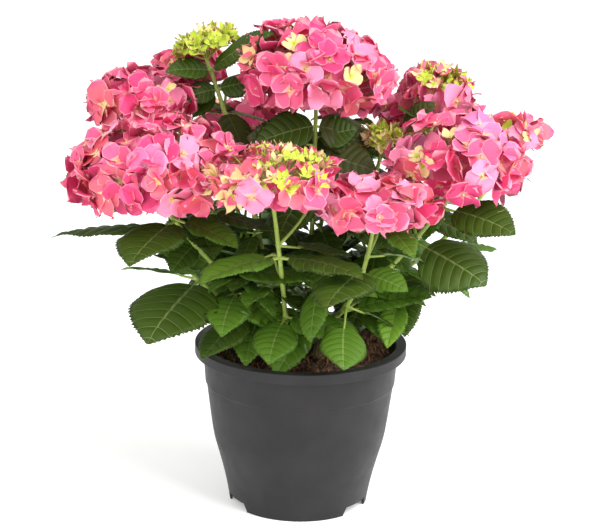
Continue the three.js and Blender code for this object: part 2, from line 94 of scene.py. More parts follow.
# Each cane's foot on the compost, and the point where it forks.
CANES = {
    "left": ((-19, -5), (-42, -14, 226)),
    "left_back": ((-14, 16), (-36, 34, 238)),
    "front": ((-8, -21), (-15, -28, 196)),
    "right": ((17, -14), (36, -32, 226)),
    "right_back": ((21, 10), (50, 24, 236)),
    "back": ((3, 24), (8, 46, 240)),
}
CANE = {"foot": 6.0, "top": 4.6, "flare": 2.6, "flare_length": 0.16, "lean": 0.25, "rise": 4.0,
        "sunk": 3.0, "nodes": (0.42, 0.8), "node_length": 0.035, "node_part": 0.6,
        "ridge_part": 1.6, "narrowed": 0.75}

# cane, bend, tip, leaf pairs, first and last pair along it, heading of the first pair, leaf length.
SHOOTS = {
    "front": ("front", (-20, -84, 282), (-33, -124, 388), 3, 0.2, 0.7, 20, 88),
    "front_right": ("right", (66, -100, 270), (76, -118, 362), 3, 0.24, 0.74, 35, 90),
    "left_front": ("left", (-96, -48, 280), (-158, -58, 366), 4, 0.22, 0.86, 60, 96),
    "right_front": ("right", (92, -44, 272), (168, -48, 384), 4, 0.22, 0.86, 100, 96),
    "left_high": ("left", (-140, 6, 272), (-186, 58, 428), 4, 0.24, 0.8, 120, 100),
    "far_right": ("right_back", (168, 28, 274), (236, 40, 412), 3, 0.26, 0.84, 80, 76),
    "lime": ("left_back", (-62, 44, 372), (-113, 60, 502), 5, 0.3, 0.93, 10, 84),
    "top": ("back", (12, 18, 330), (12, 10, 468), 4, 0.3, 0.8, 114, 92),
    "right_high": ("right_back", (118, 60, 330), (150, 70, 446), 4, 0.3, 0.88, 75, 88),
    "left_low": ("left", (-84, -22, 232), (-122, -34, 276), 2, 0.5, 0.92, 150, 92),
    "right_low": ("right_back", (88, 6, 234), (116, -8, 252), 2, 0.5, 0.92, 5, 78),
    "left_behind": ("left_back", (-92, 82, 350), (-132, 112, 470), 4, 0.3, 0.84, 70, 90),
    "bud": ("back", (70, 30, 320), (88, 28, 408), 4, 0.3, 0.86, 30, 80),
    "back_left": ("left_back", (-58, 132, 292), (-66, 168, 368), 4, 0.24, 0.86, 15, 98),
    "back_middle": ("back", (30, 140, 330), (40, 182, 420), 4, 0.24, 0.84, 40, 96),
    "back_right": ("right_back", (126, 124, 310), (150, 160, 388), 4, 0.26, 0.86, 65, 98),
}
STALKED = ("front", "front_right", "top", "bud")
SHOOT = {"foot": 2.9, "top": 2.2, "node_length": 0.014}

# Leaves that stand out. shoot, place along it, heading, lift, blade, leaf stalk, width, roll, fold
# along the midrib, tone.
OUTER_LEAVES = (
    ("left_high", 0.5, 172, -1, 119, 34, 0.54, 4, 0.08, "deep"),
    ("left_front", 0.84, -112, -6, 86, 18, 0.88, 0, 0.2, "deep"),
    ("left_front", 0.46, 172, 24, 60, 6, 0.8, -52, 0.12, "mid"),
    ("left_front", 0.24, -100, -5, 76, 26, 0.68, 0, 0.2, "mid"),
    ("left_front", 0.4, -18, 8, 92, 22, 0.68, 0, 0.2, "mid"),
    ("left_front", 0.04, -128, -12, 78, 30, 0.68, 0, 0.2, "deep"),
    ("left_low", 0.9, 148, 2, 86, 20, 0.5, 12, 0.06, "mid"),
    ("left_low", 0.88, -116, -14, 100, 14, 1.0, 0, 0.1, "deep"),
    ("front", 0.62, -134, 4, 96, 20, 0.68, 0, 0.3, "mid"),
    ("front", 0.62, -40, 7, 92, 20, 0.68, 0, 0.2, "deep"),
    ("front", 0.2, -104, -12, 66, 20, 0.78, 0, 0.25, "mid"),
    ("front", 0.2, -36, 4, 86, 12, 0.68, 10, 0.1, "mid"),
    ("front_right", 0.62, -112, 1, 92, 16, 0.72, 0, 0.1, "deep"),
    ("front_right", 0.24, -94, -20, 60, 42, 0.84, 0, 0.12, "mid"),
    ("front_right", 0.5, 160, 10, 62, 8, 0.7, -40, 0.2, "deep"),
    ("front_right", 0.6, -44, 0, 54, 8, 0.66, 34, 0.16, "mid"),
    ("right_front", 0.62, -39, -13, 80, 18, 1.0, 30, 0.1, "deep"),
    ("right_front", 0.86, -44, 0, 80, 20, 0.7, 28, 0.1, "deep"),
    ("right_front", 0.43, 8, -14, 48, 16, 0.66, 0, 0.1, "fresh"),
    ("right_front", 0.06, -16, 22, 84, 20, 0.5, 20, 0.2, "mid"),
    ("right_low", 0.35, -72, -12, 64, 26, 0.68, 0, 0.2, "mid"),
    ("right_low", 0.9, -100, -20, 66, 22, 0.5, 0, 0.2, "fresh"),
    ("right_low", 0.9, 75, -34, 52, 22, 0.5, 0, 0.2, "pale"),
    ("far_right", 0.84, 215, 10, 44, 8, 0.6, 0, 0.1, "deep"),
    ("far_right", 0.44, 38, -6, 68, 30, 0.68, 0, 0.2, "mid"),
    ("lime", 0.94, -57, 31, 106, 14, 0.34, 56, 0.14, "deep"),
    ("lime", 0.94, -148, 10, 50, 4, 0.62, -44, 0.2, "deep"),
    ("lime", 0.86, -156, -6, 36, 3, 0.8, -50, 0.1, "deep"),
    ("lime", 0.86, -12, 18, 40, 5, 0.85, 45, 0.1, "deep"),
    ("lime", 0.78, -52, -42, 60, 10, 0.8, 0, 0.16, "shaded_olive"),
    ("lime", 0.62, -120, -20, 78, 16, 0.72, 0, 0.16, "deep"),
    ("top", 0.76, -168, 10, 66, 10, 0.8, -56, 0.08, "shaded_olive"),
    ("top", 0.72, -24, -6, 60, 12, 0.95, 52, 0.06, "shaded_olive"),
    ("top", 0.8, 4, 14, 44, 4, 0.9, 50, 0.1, "deep"),
    ("top", 0.86, 14, -14, 72, 4, 0.74, 46, 0.1, "shaded_olive"),
    ("top", 0.86, 196, -8, 68, 3, 0.74, -48, 0.1, "deep"),
    ("top", 0.58, -120, -24, 84, 18, 0.7, 0, 0.16, "deep"),
    ("top", 0.52, -40, -22, 88, 20, 0.7, 0, 0.16, "deep"),
    ("bud", 0.7, -76, -34, 76, 12, 0.7, 0, 0.16, "deep"),
    ("bud", 0.5, -140, -20, 84, 18, 0.7, 0, 0.16, "deep"),
    ("bud", 0.86, 176, 20, 84, 10, 0.56, -62, 0.1, "shaded_olive"),
    ("bud", 0.94, -13, 52, 44, 44, 0.72, 60, 0.1, "shaded_olive"),
    ("right_high", 0.86, -124, 40, 56, 18, 0.6, -24, 0.1, "deep"),
)
LEAF = {"neck": 22.0, "wide": 0.68, "sag": 0.12, "droop": 4.0, "low": -18.0, "high": 2.0,
        "low_size": 0.86, "high_size": 0.74}
# How widely the ruled leaves vary, with the chance of a fresh tone on those above high and below.
SPREAD = {"turn": 9.0, "lift": 6.0, "long": 0.07, "wide": 0.04, "roll": 11.0, "fold": (0.06, 0.34),
          "high": 0.8, "fresh_high": 0.22, "fresh_low": 0.06, "mid": 0.4}
# The small leaves at a twig's end, and how each pair differs from the one before it.
SMALL = {"neck": (6, 14), "wide": (0.56, 0.7), "fold": (0.1, 0.3), "roll": 14.0, "raised": 16.0,
         "smaller": 0.28}
SHADE, SUN = (0.42, 0.5, 0.08), (0.3, 0.5, 0.2)  # chances of a deep, mid and fresh small leaf
# Heights under low and distances from the axis under inner bear more twigs than the rest, by
# these parts of the chance. No twig grows above last, nor in an outer leaf's axil above shaded.
TWIG = {"low": 330.0, "inner": 130.0, "low_part": 1.0, "inner_part": 1.7, "outer_part": 0.5,
        "last": 0.87, "shaded": 0.5, "fork": 44.0, "veins": 5}
# Lifts and lengths of the leaves on each kind of twig, and the lengths that an axil's twig takes.
TWIG_LEAVES = {
    "low": ((-24, 4), (44, 66)),
    "high": ((-24, 4), (34, 54)),
    "fork": ((-28, 0), (54, 78)),
    "tuft": ((20, 36), (34, 48)),
}
TWIG_SPANS = {"low": (26, 52), "high": (20, 36)}
FLOWERLESS = ("left_low", "right_low")  # shoots that end in a tuft of leaves
NEARNESS = 300.0  # degrees of heading that count as much as a shoot's whole height

# Half width, height above the widest ring, depth below it, and how far the crown leans along X.
HEADS = {
    "top": (84, 60, 46, -20),
    "left_front": (94, 62, 54, 0),
    "right_front": (76, 54, 48, -4),
    "front": (76, 36, 34, 0),
    "front_right": (66, 34, 32, 0),
    "left_high": (64, 40, 40, 10),
    "right_high": (46, 34, 32, -8),
    "far_right": (39, 24, 24, -4),
    "lime": (31, 20, 17, 0),
    "left_behind": (42, 26, 26, 0),
    "bud": (20, 13, 14, 0),
    "back_left": (66, 46, 40, 0),
    "back_middle": (68, 46, 42, 0),
    "back_right": (60, 44, 40, 0),
}
LOWEST = 2.12  # tilt of a head's lowest florets, in radians from straight up
# The florets of a head sit in layers, a few mm apart. Each faces out with one of two sways, and
# varies in size.
LAYERS, LAYER = 5, 2.0
SWAYS, SWAY_CHANCES = (0.13, 0.4), (0.6, 0.4)
SIZES = (0.86, 1.14)
# Share of the florets that lie deeper, how much deeper and smaller they are, and the chance,
# highest tilt and size of a cream one among them.
DEEPER = {"share": 0.34, "sunk": (6, 12), "smaller": 0.1, "cream": 0.36, "cream_to": 1.5,
          "cream_size": 0.62}
# Deeper rose and coral florets low on a head are painted shade under it.
# From which tilt a floret may be rose or coral instead, the chance of it, and the size it takes.
SHADE_BELOW = {"from": 1.4, "chance": 0.15, "size": 1.2}
SHADE_BELOW_CHANCES = {"left_front": 0.75, "left_high": 0.4}  # chances on the heads that differ
SLACK = 0.42  # how much further the florets at the very bottom of a head may hang out
UNDERSIDE = 0.62  # height of a head's widest ring above its shoot's tip, of the depth below it
LIME_HEADS = ("lime", "bud")
SLANT = {"lime": (0.8, 0.3), "bud": (0.9, 0.0)}  # how far a lime head is flattened and slanted
LIME_MIX = {"lime": (0.12, 0.88), "bud": (0.4, 0.6)}  # chances of cream and lime florets
REAR_HEADS = ("left_behind", "back_left", "back_middle", "back_right")

# ---------------------------------------------------------------- colours

# The olive tone is painted shade: a dark olive for the leaves in the top head's shadow.
TONES = ("deep", "mid", "fresh", "pale", "shaded_olive")

# How far each tone's veins are mixed towards the vein colour.
VEINING = {"deep": 0.42, "mid": 0.46, "fresh": 0.5, "pale": 0.4, "shaded_olive": 0.1}

# Chances of each floret kind on each head: rose, pink, blush, coral, orchid, cream, lime.
KINDS = ("rose", "pink", "blush", "coral", "orchid", "cream", "lime")
MOST = (0.3, 0.42, 0.14, 0.12, 0.02, 0.0, 0.0)
CHANCES = {
    "front_right": (0.05, 0.37, 0.4, 0.16, 0.02, 0.0, 0.0),
    "front": (0.14, 0.3, 0.26, 0.3, 0.0, 0.0, 0.0),
    "top": (0.2, 0.46, 0.24, 0.08, 0.02, 0.0, 0.0),
    "right_front": (0.16, 0.44, 0.26, 0.1, 0.04, 0.0, 0.0),
    "right_high": (0.06, 0.26, 0.32, 0.34, 0.02, 0.0, 0.0),
    "far_right": (0.08, 0.2, 0.26, 0.34, 0.0, 0.1, 0.02),
    "left_behind": (0.25, 0.34, 0.2, 0.12, 0.05, 0.04, 0.0),
    "back_left": (0.28, 0.38, 0.2, 0.06, 0.06, 0.02, 0.0),
}


def linear(code):
    """Linear red, green and blue of a colour written as a web code."""
    level = np.array([int(code[i : i + 2], 16) for i in (1, 3, 5)]) / 255.0
    return tuple(np.where(level <= 0.04045, level / 12.92, ((level + 0.055) / 1.055) ** 2.4))


def tint(name, description, code):
    """A colour that the user can change."""
    return bpy.props.FloatVectorProperty(
        name=name, description=description, subtype="COLOR", size=3, min=0, max=1,
        default=linear(code),
    )


def length(name, description, default):
    """A length in metres that the user can change."""
    return bpy.props.FloatProperty(
        name=name, description=description, default=default, min=0, unit="LENGTH"
    )


def share(name, description, default, highest=1.0):
    """A plain number that the user can change."""
    return bpy.props.FloatProperty(
        name=name, description=description, default=default, min=0, max=highest, subtype="FACTOR"
    )


def count(name, description, default):
    """A whole number that the user can change."""
    return bpy.props.IntProperty(name=name, description=description, default=default, min=1)


class HydrangeaPotSettings(bpy.types.PropertyGroup):
    """Size and colour of the moulded pot."""

    rim_radius: length("Rim radius", "Outer radius of the hanging lip", POT_BOX[1].x)
    height: length("Height", "Height of the pot above the ground", POT_BOX[1].z)
    columns: count("Columns", "Facets round the pot", 240)
    plastic: tint("Plastic", "Body colour of the plastic", "#1b1a1c")
    worn_plastic: tint("Worn plastic", "Colour of the dustier patches", "#242224")


class HydrangeaCompostSettings(bpy.types.PropertyGroup):
    """Surface and colours of the compost."""

    crumb_height: length("Crumb height", "Height of the surface's crumbs", 0.0016)
    lumps: count("Lumps", "Loose lumps on the surface", 420)
    fibres: count("Fibres", "Loose fibres on the surface", 260)
    peat: tint("Peat", "Colour of the moist compost", "#46301f")
    bark_crumb: tint("Bark crumb", "Colour of the redder bits", "#7b4b2f")
    fibre: tint("Fibre", "Colour of the fibres", "#976a44")


class HydrangeaStemSettings(bpy.types.PropertyGroup):
    """Thickness, relief and colours of the canes, shoots and twigs."""

    node_swelling: share("Node swelling", "How much a stem widens where leaves join it", 0.28)
    ridge: share("Ridges", "Height of the bark's ridges, of the stem's radius", 0.05)
    old_bark: tint("Old bark", "Colour of the canes near the ground", "#6f5c3c")
    cane_bark: tint("Cane bark", "Colour of the canes higher up", "#93954f")
    green_stem: tint("Green stem", "Colour of this year's shoots", "#9bb052")
    fleck: tint("Fleck", "Colour of the small flecks on the shoots", "#5e6a2a")


class HydrangeaLeafSettings(bpy.types.PropertyGroup):
    """Shape and colours of the leaves."""

    veins: count("Side veins", "Side veins on each half of a leaf", 7)
    tooth: share("Tooth", "Depth of a tooth on the margin, of the leaf's length", 0.016)
    quilting: share("Quilting", "How far the leaf bulges between its veins, of its length", 0.028)
    forward: share("Forward sweep", "How far a side vein runs towards the tip", 0.46)
    thickness: length("Thickness", "Thickness of the blade", 0.0005)
    twig_chance: share("Twigs", "Chance of a twig in a leaf's axil", 0.6)
    deep_green: tint("Deep green", "Fully grown leaves", "#374c11")
    mid_green: tint("Mid green", "Most leaves", "#486919")
    fresh_green: tint("Fresh green", "Younger leaves", "#5f8424")
    pale_green: tint("Pale green", "Small leaves low down", "#8aa742")
    # The olive tone is painted shade: a dark olive for the leaves in the top head's shadow.
    shaded_olive: tint("Olive", "Ageing leaves under the top head", "#3b3f17")
    vein: tint("Vein", "Midrib and side veins", "#8f9f5c")
    underside: tint("Underside", "Lower face of the leaves", "#7d9560")


class HydrangeaBloomSettings(bpy.types.PropertyGroup):
    """Size, number and colours of the florets."""

    floret_radius: length("Floret radius", "Half width of a full floret", 0.0245)
    fullness: share("Fullness", "Florets on a head, against just covering it", 1.9, 5.0)
    rose: tint("Rose", "Deepest pink", "#da4175")
    pink: tint("Pink", "Main pink", "#e65e88")
    blush: tint("Blush", "Pale pink", "#f08bae")
    coral: tint("Coral", "Warmer pink", "#e66a7c")
    orchid: tint("Orchid", "Cooler pink", "#e277a8")
    edge: tint("Edge", "Thin pale margin of a sepal", "#fad8d0")
    cream: tint("Cream", "Base of a sepal and the young florets", "#e6cd90")
    lime: tint("Lime", "Unopened florets", "#b9cb3e")
    heart: tint("Heart", "Warm middle of the paler pink florets", "#eda996")
    stalk: tint("Floret stalk", "Fine stalks that carry the florets", "#aebb58")


class HydrangeaStageSettings(bpy.types.PropertyGroup):
    """Floor, light and camera."""

    floor: tint("Floor", "Colour of the floor", "#f9f9f8")
    floor_glow: share("Floor glow", "Light the floor gives off, for pale shadows", 0.22, 5.0)
    sky: share("Soft light", "Strength of the light from all round", 0.8, 5.0)
    key: share("Key light", "Power of the large soft light, in watts", 405.0, 2000.0)
    fill: share("Fill light", "Power of the light from the other side, in watts", 100.0, 2000.0)


# ---------------------------------------------------------------- arrays and meshes


def unit(vectors):
    """v / |v| along the last axis."""
    return vectors / np.maximum(np.linalg.norm(vectors, axis=-1, keepdims=True), 1e-9)


def mix(a, b, t):
    """a + (b - a) t."""
    return a + (b - a) * t


def heading(turn, lift):
    """(cos l cos t, cos l sin t, sin l) of a heading t and a lift l, in degrees."""
    t, l = np.radians(turn), np.radians(lift)
    return np.stack([np.cos(l) * np.cos(t), np.cos(l) * np.sin(t), np.sin(l)], -1)


def grid(rows, columns, wrap=False):
    """Quads between the neighbouring points of a grid, shape (rows - 1, strips, 4)."""
    index = np.arange(rows * columns).reshape(rows, columns)
    left = index if wrap else index[:, :-1]
    right = np.roll(index, -1, axis=1) if wrap else index[:, 1:]
    return np.stack([left[:-1], right[:-1], right[1:], left[1:]], -1)


def shell(rings):
    """A part of one finish, whose faces join each ring of points to the next all the way round."""
    return rings.reshape(-1, 3), [(grid(*rings.shape[:2], True).reshape(-1, 4), 0)]


def repeat(faces, copies, points):
    """The same faces on each of many copies that have that many points each."""
    return (faces[None] + points * np.arange(copies)[:, None, None]).reshape(-1, faces.shape[-1])


def join(parts):
    """Joins parts, each (points, [(faces, slots), ...]), into one part."""
    start, points, faces = 0, [], []
    for part_points, part_faces in parts:
        points.append(part_points)
        faces += [(f + start, s) for f, s in part_faces]
        start += len(part_points)
    return np.concatenate(points), faces


def add_piece(name, part, finishes):
    """Puts a part's points, in mm, and its faces into a mesh object at the origin, in metres."""
    points, faces = part
    loops = np.concatenate([f.ravel() for f, _ in faces]).astype(np.int32)
    sides = np.concatenate([np.full(len(f), f.shape[1]) for f, _ in faces])
    slots = np.concatenate([np.broadcast_to(s, len(f)) for f, s in faces]).astype(np.int32)
    starts = np.concatenate([[0], np.cumsum(sides)[:-1]]).astype(np.int32)
    mesh = bpy.data.meshes.new(name)
    mesh.vertices.add(len(points))
    mesh.vertices.foreach_set("co", (points * MM).astype(np.float32).ravel())
    mesh.loops.add(len(loops))
    mesh.loops.foreach_set("vertex_index", loops)
    mesh.polygons.add(len(sides))
    mesh.polygons.foreach_set("loop_start", starts)
    for finish in finishes:
        mesh.materials.append(finish)
    mesh.polygons.foreach_set("material_index", slots)
    mesh.polygons.foreach_set("use_smooth", np.ones(len(sides), bool))
    mesh.update(calc_edges=True)
    mesh.validate()
    piece = bpy.data.objects.new(name, mesh)
    bpy.context.scene.collection.objects.link(piece)
    return piece


def arc(a, b, c, t):
    """(1 - t)² a + 2 t (1 - t) b + t² c."""
    return (1 - t) ** 2 * a + 2 * t * (1 - t) * b + t * t * c


def bezier(a, b, c, t):
    """Points of the arc from a past b to c, and its direction, for each t."""
    a, b, c = (np.asarray(p, float) for p in (a, b, c))
    t = np.asarray(t, float)[..., None]
    return arc(a, b, c, t), unit((1 - t) * (b - a) + t * (c - b))


def lathe(radius, z, angle):
    """(r cos a, r sin a, z), with a ring of angles a for each radius and height."""
    radius, z, angle = np.broadcast_arrays(radius, z, angle)
    return np.stack([radius * np.cos(angle), radius * np.sin(angle), z], -1)


def globe(slopes, columns):
    """(sin a cos b, sin a sin b, cos a) for each slope a, with b once round in so many columns."""
    a, b = np.asarray(slopes)[:, None], TURN * np.arange(columns) / columns
    return lathe(np.sin(a), np.cos(a), b)


def polar(reach, turn):
    """(r cos b, r sin b)."""
    return np.stack([reach * np.cos(turn), reach * np.sin(turn)], -1)


def even(a, b, c, fractions):
    """Points and directions on a quadratic curve at fractions of its running length."""
    t = np.linspace(0, 1, 201)
    dense, _ = bezier(a, b, c, t)
    run = np.r_[0, np.cumsum(np.linalg.norm(np.diff(dense, axis=0), axis=1))]
    return bezier(a, b, c, np.interp(np.asarray(fractions) * run[-1], run, t))


def on_shoot(name, fractions):
    """Points and directions on a shoot at fractions of its length, from its cane's fork."""
    cane, bend, tip = SHOOTS[name][:3]
    return even(CANES[cane][1], bend, tip, fractions)


def tubes(paths, radii, sides, slot=0, capped=True):
    """Tubes along paths (n, k, 3): p + r (u cos a + v sin a), with u and v across the path.

    radii is (n, k) or (n, k, sides), and each end is closed by one face."""
    number, steps = paths.shape[:2]
    along = unit(np.gradient(paths, axis=1))
    spine = unit(paths[:, -1] - paths[:, 0])
    least = np.eye(3)[np.argmin(np.abs(spine), axis=1)]
    across = unit(least[:, None] - along * (along * least[:, None]).sum(-1, keepdims=True))
    out = np.cross(along, across)
    angle = TURN * np.arange(sides) / sides
    radii = np.broadcast_to(radii if radii.ndim == 3 else radii[..., None], (number, steps, sides))
    ring = np.cos(angle)[:, None] * across[:, :, None] + np.sin(angle)[:, None] * out[:, :, None]
    points = paths[:, :, None] + radii[..., None] * ring
    walls = repeat(grid(steps, sides, True).reshape(-1, 4), number, steps * sides)
    faces = [(walls, slot)]
    if capped:
        caps = np.stack([np.arange(sides)[::-1], np.arange(sides) + (steps - 1) * sides])
        faces.append((repeat(caps, number, steps * sides), slot))
    return points.reshape(-1, 3), faces


def waves(points, lengths, seed):
    """A smooth random field: the sum of n sines of x·k + p over sqrt(n / 2), with waves of random
    heading, phase and length."""
    rng, terms = np.random.default_rng(seed), 14
    direction = unit(rng.normal(size=(terms, points.shape[-1])))
    size = TURN / rng.uniform(*lengths, terms)
    phase = rng.uniform(0, TURN, terms)
    return np.sin(points @ (direction * size[:, None]).T + phase).sum(-1) / np.sqrt(terms / 2)


# ---------------------------------------------------------------- finishes


def plain_finish(name, colour, roughness, **values):
    """A finish whose numbers all stand on the shader's own sockets."""
    finish = bpy.data.materials.new(name)
    finish.use_nodes = True
    shader = finish.node_tree.nodes["Principled BSDF"]
    shader.inputs["Base Color"].default_value = (*colour, 1)
    shader.inputs["Roughness"].default_value = roughness
    for socket, value in values.items():
        shader.inputs[socket.replace("_", " ")].default_value = value
    return finish


def textured_finish(name, colour, roughness, **values):
    """A plain finish, with its nodes and its shader to link textures to."""
    finish = plain_finish(name, colour, roughness, **values)
    return finish, finish.node_tree, finish.node_tree.nodes["Principled BSDF"]


def noise(tree, scale, detail, stretch=None):
    """A noise on the piece's own coordinates, drawn out along its axes by stretch."""
    place = tree.nodes.new("ShaderNodeTexCoord")
    texture = tree.nodes.new("ShaderNodeTexNoise")
    texture.inputs["Scale"].default_value = scale
    texture.inputs["Detail"].default_value = detail
    if stretch is None:
        tree.links.new(place.outputs["Object"], texture.inputs["Vector"])
        return texture.outputs["Fac"]
    mapping = tree.nodes.new("ShaderNodeMapping")
    mapping.inputs["Scale"].default_value = stretch
    tree.links.new(place.outputs["Object"], mapping.inputs["Vector"])
    tree.links.new(mapping.outputs["Vector"], texture.inputs["Vector"])
    return texture.outputs["Fac"]


def blend_colours(tree, factor, stops):
    """A colour ramp over a factor, from (place, colour) stops."""
    ramp = tree.nodes.new("ShaderNodeValToRGB")
    ramp.color_ramp.elements[0].position = stops[0][0]
    ramp.color_ramp.elements[0].color = (*stops[0][1], 1)
    ramp.color_ramp.elements[1].position = stops[-1][0]
    ramp.color_ramp.elements[1].color = (*stops[-1][1], 1)
    for place, colour in stops[1:-1]:
        ramp.color_ramp.elements.new(place).color = (*colour, 1)
    tree.links.new(factor, ramp.inputs["Fac"])
    return ramp.outputs["Color"]


def spread(tree, factor, low, high):
    """A factor carried over to the range from low to high."""
    node = tree.nodes.new("ShaderNodeMapRange")
    node.inputs["To Min"].default_value = low
    node.inputs["To Max"].default_value = high
    tree.links.new(factor, node.inputs["Value"])
    return node.outputs["Result"]


def raise_grain(tree, shader, heights):
    """Bumps one after another on the shader's normal, from (factor, strength, distance)."""
    last = None
    for factor, strength, distance in heights:
        bump = tree.nodes.new("ShaderNodeBump")
        bump.inputs["Strength"].default_value = strength
        bump.inputs["Distance"].default_value = distance
        tree.links.new(factor, bump.inputs["Height"])
        if last is not None:
            tree.links.new(last, bump.inputs["Normal"])
        last = bump.outputs["Normal"]
    tree.links.new(last, shader.inputs["Normal"])


def moulded_plastic(colours):
    """Satin plastic with a fine grain, faint clouds of dust and uneven gloss."""
    finish, tree, shader = textured_finish(
        "moulded_plastic", colours.plastic, 0.46, Specular_IOR_Level=0.33
    )
    clouds = noise(tree, 22.0, 6.0)
    colour = blend_colours(tree, clouds, [(0.4, colours.plastic), (0.72, colours.worn_plastic)])
    tree.links.new(colour, shader.inputs["Base Color"])
    tree.links.new(spread(tree, noise(tree, 60.0, 5.0), 0.36, 0.62), shader.inputs["Roughness"])
    raise_grain(tree, shader, [(noise(tree, 1500.0, 2.0), 0.22, 0.0004),
                               (noise(tree, 90.0, 3.0), 0.12, 0.0006)])
    return finish


def moist_peat(colours):
    """Dark compost with redder bits and a coarse grain."""
    finish, tree, shader = textured_finish("moist_peat", colours.peat, 0.92)
    stops = [(0.36, tuple(0.45 * c for c in colours.peat)), (0.52, tuple(colours.peat)),
             (0.7, tuple(colours.bark_crumb))]
    colour = blend_colours(tree, noise(tree, 260.0, 7.0), stops)
    tree.links.new(colour, shader.inputs["Base Color"])
    raise_grain(tree, shader, [(noise(tree, 700.0, 6.0), 0.9, 0.0012)])
    return finish


def cane_bark(colours):
    """Bark streaked along the cane, mixed by a noise from darker brown through brown to green."""
    finish, tree, shader = textured_finish("cane_bark", colours.cane_bark, 0.72)
    streaks = noise(tree, 420.0, 6.0, (1.0, 1.0, 0.12))
    stops = [(0.34, tuple(0.55 * c for c in colours.old_bark)), (0.5, tuple(colours.old_bark)),
             (0.66, tuple(colours.cane_bark))]
    tree.links.new(blend_colours(tree, streaks, stops), shader.inputs["Base Color"])
    raise_grain(tree, shader, [(streaks, 0.7, 0.0012), (noise(tree, 1300.0, 3.0), 0.3, 0.0005)])
    return finish


def green_bark(colours):
    """Smooth green skin with small darker flecks along it."""
    finish, tree, shader = textured_finish("green_bark", colours.green_stem, 0.5)
    flecks = noise(tree, 700.0, 3.0, (1.0, 1.0, 0.35))
    stops = [(0.28, tuple(colours.fleck)), (0.42, tuple(colours.green_stem)),
             (0.8, tuple(1.12 * c for c in colours.green_stem))]
    tree.links.new(blend_colours(tree, flecks, stops), shader.inputs["Base Color"])
    raise_grain(tree, shader, [(flecks, 0.25, 0.0006)])
    return finish


# ---------------------------------------------------------------- pot


def wall_radius(z):
    """Outer radius under the step, (a + b - sqrt((a - b)² + e²)) / 2, which is the smaller of two
    radii a and b with the corner between them eased by e. a is foot + (belly - foot)
    (s + (s² - s) roundness) for s = z / belly height, and b is a straight line to the step."""
    belly, belly_height = POT["belly"]
    step, step_height = POT["step"]
    low = z / belly_height
    a = POT["foot"] + (belly - POT["foot"]) * mix(low, low * low, POT["roundness"])
    b = mix(belly, step, (z - belly_height) / (step_height - belly_height))
    return (a + b - np.sqrt((a - b) ** 2 + BELLY_EASE**2)) / 2


def pot_profile(rim, height):
    """Corners of the moulding, from the middle of the underside, out, up, over and back in."""
    skin, lip = POT["skin"], height - POT["rim_drop"]
    floor = POT["floor"] + skin
    neck_z, proud = height - skin, POT["step"][0] + POT["step_depth"]
    proud_z = POT["step"][1] + POT["step_depth"]
    heights = np.linspace(*POT["eased"], 15)
    outer = [(wall_radius(z), z) for z in heights]
    inner = [(wall_radius(z) - skin, z) for z in heights[::-1] if z > floor + POT["fillet"]]
    return np.array(
        [
            (0, 0), (POT["boss"], 0), (POT["boss"] + POT["boss_draft"], POT["floor"]),
            (POT["foot"] - skin, POT["floor"]), (POT["foot"] - skin, 0), (POT["foot"], 0),
            *outer, POT["step"], (proud, proud_z), (POT["neck"], neck_z), (rim - skin, neck_z),
            (rim - skin, lip), (rim, lip), (rim, height), (POT["neck"] - skin, height),
            (proud - skin, proud_z), *inner, (wall_radius(floor) - skin, floor),
            (POT["boss"], floor), (POT["boss"] - skin, skin), (0, skin),
        ],
        float,
    )


def round_corners(corners, radius, samples=4):
    """Each corner p becomes the curve (1-t)² a + 2t(1-t) p + t² b between points a and b that lie
    a little way back and on along its two edges, with one more point beside each of them."""
    step = np.diff(corners, axis=0)
    size = np.linalg.norm(step, axis=1, keepdims=True)
    ahead, behind = unit(step[1:]), unit(-step[:-1])
    cut = np.minimum(radius, 0.3 * np.minimum(size[1:], size[:-1]))
    middle = corners[1:-1]
    t = np.linspace(0, 1, samples)[:, None, None]
    a, b = middle + cut * behind, middle + cut * ahead
    curve = arc(a, middle, b, t)
    beside = (middle + 1.4 * cut * behind)[None], (middle + 1.4 * cut * ahead)[None]
    rounded = np.concatenate([beside[0], curve, beside[1]]).swapaxes(0, 1).reshape(-1, 2)
    return np.concatenate([corners[:1], rounded, corners[-1:]])


def build_pot(settings):
    """Turns the profile round the axis, and lifts the skirt's lower edge over the notches:
    z = max(z, h clip((f/2 + s/2 - |angle|) / (f/2), 0, 1)) for span s and flare f."""
    corners = pot_profile(settings.rim_radius / MM, settings.height / MM)
    profile = round_corners(corners, POT["rounding"])
    angle = TURN * np.arange(settings.columns) / settings.columns
    radius, z = (np.broadcast_to(p[:, None], (len(p), len(angle))) for p in profile.T)
    away = np.degrees(angle)[:, None] - (np.array(POT["notch_turns"]) - 90)
    away = np.abs((away + 180) % 360 - 180).min(axis=1)
    half, flare = POT["notch_span"] / 2, POT["notch_flare"] / 2
    lifted = POT["notch_height"] * np.clip((half + flare - away) / flare, 0, 1)
    skirt = (radius > POT["foot"] - POT["skin"] - 1) & (z < POT["notch_height"])
    skirt &= radius < wall_radius(POT["notch_height"]) + 0.5
    new_z = np.where(skirt, np.maximum(z, lifted), z)
    outside = skirt & (radius >= POT["foot"] - 0.6)
    radius = np.where(outside & (new_z > z), wall_radius(new_z), radius)
    part = shell(lathe(radius, new_z, angle))
    return add_piece("pot_moulding", part, [moulded_plastic(settings)])


# ---------------------------------------------------------------- compost


def compost_height(x, y):
    """level + smoothstep(r) relief (sin x/a cos y/b + 0.6 sin (x + y)/c), level in the middle."""
    s = np.clip(np.hypot(x, y) / COMPOST["flat"] - 1, 0, 1)
    a, b, c = COMPOST["crumbs"]
    crumbs = np.sin(x / a) * np.cos(y / b) + 0.6 * np.sin((x + y) / c)
    return COMPOST["level"] + s * s * (3 - 2 * s) * COMPOST["relief"] * crumbs


CRUMB_WAVES = (1, (9, 20)), (2, (4, 8)), (3, (2, 4))  # seed and range of lengths of each field


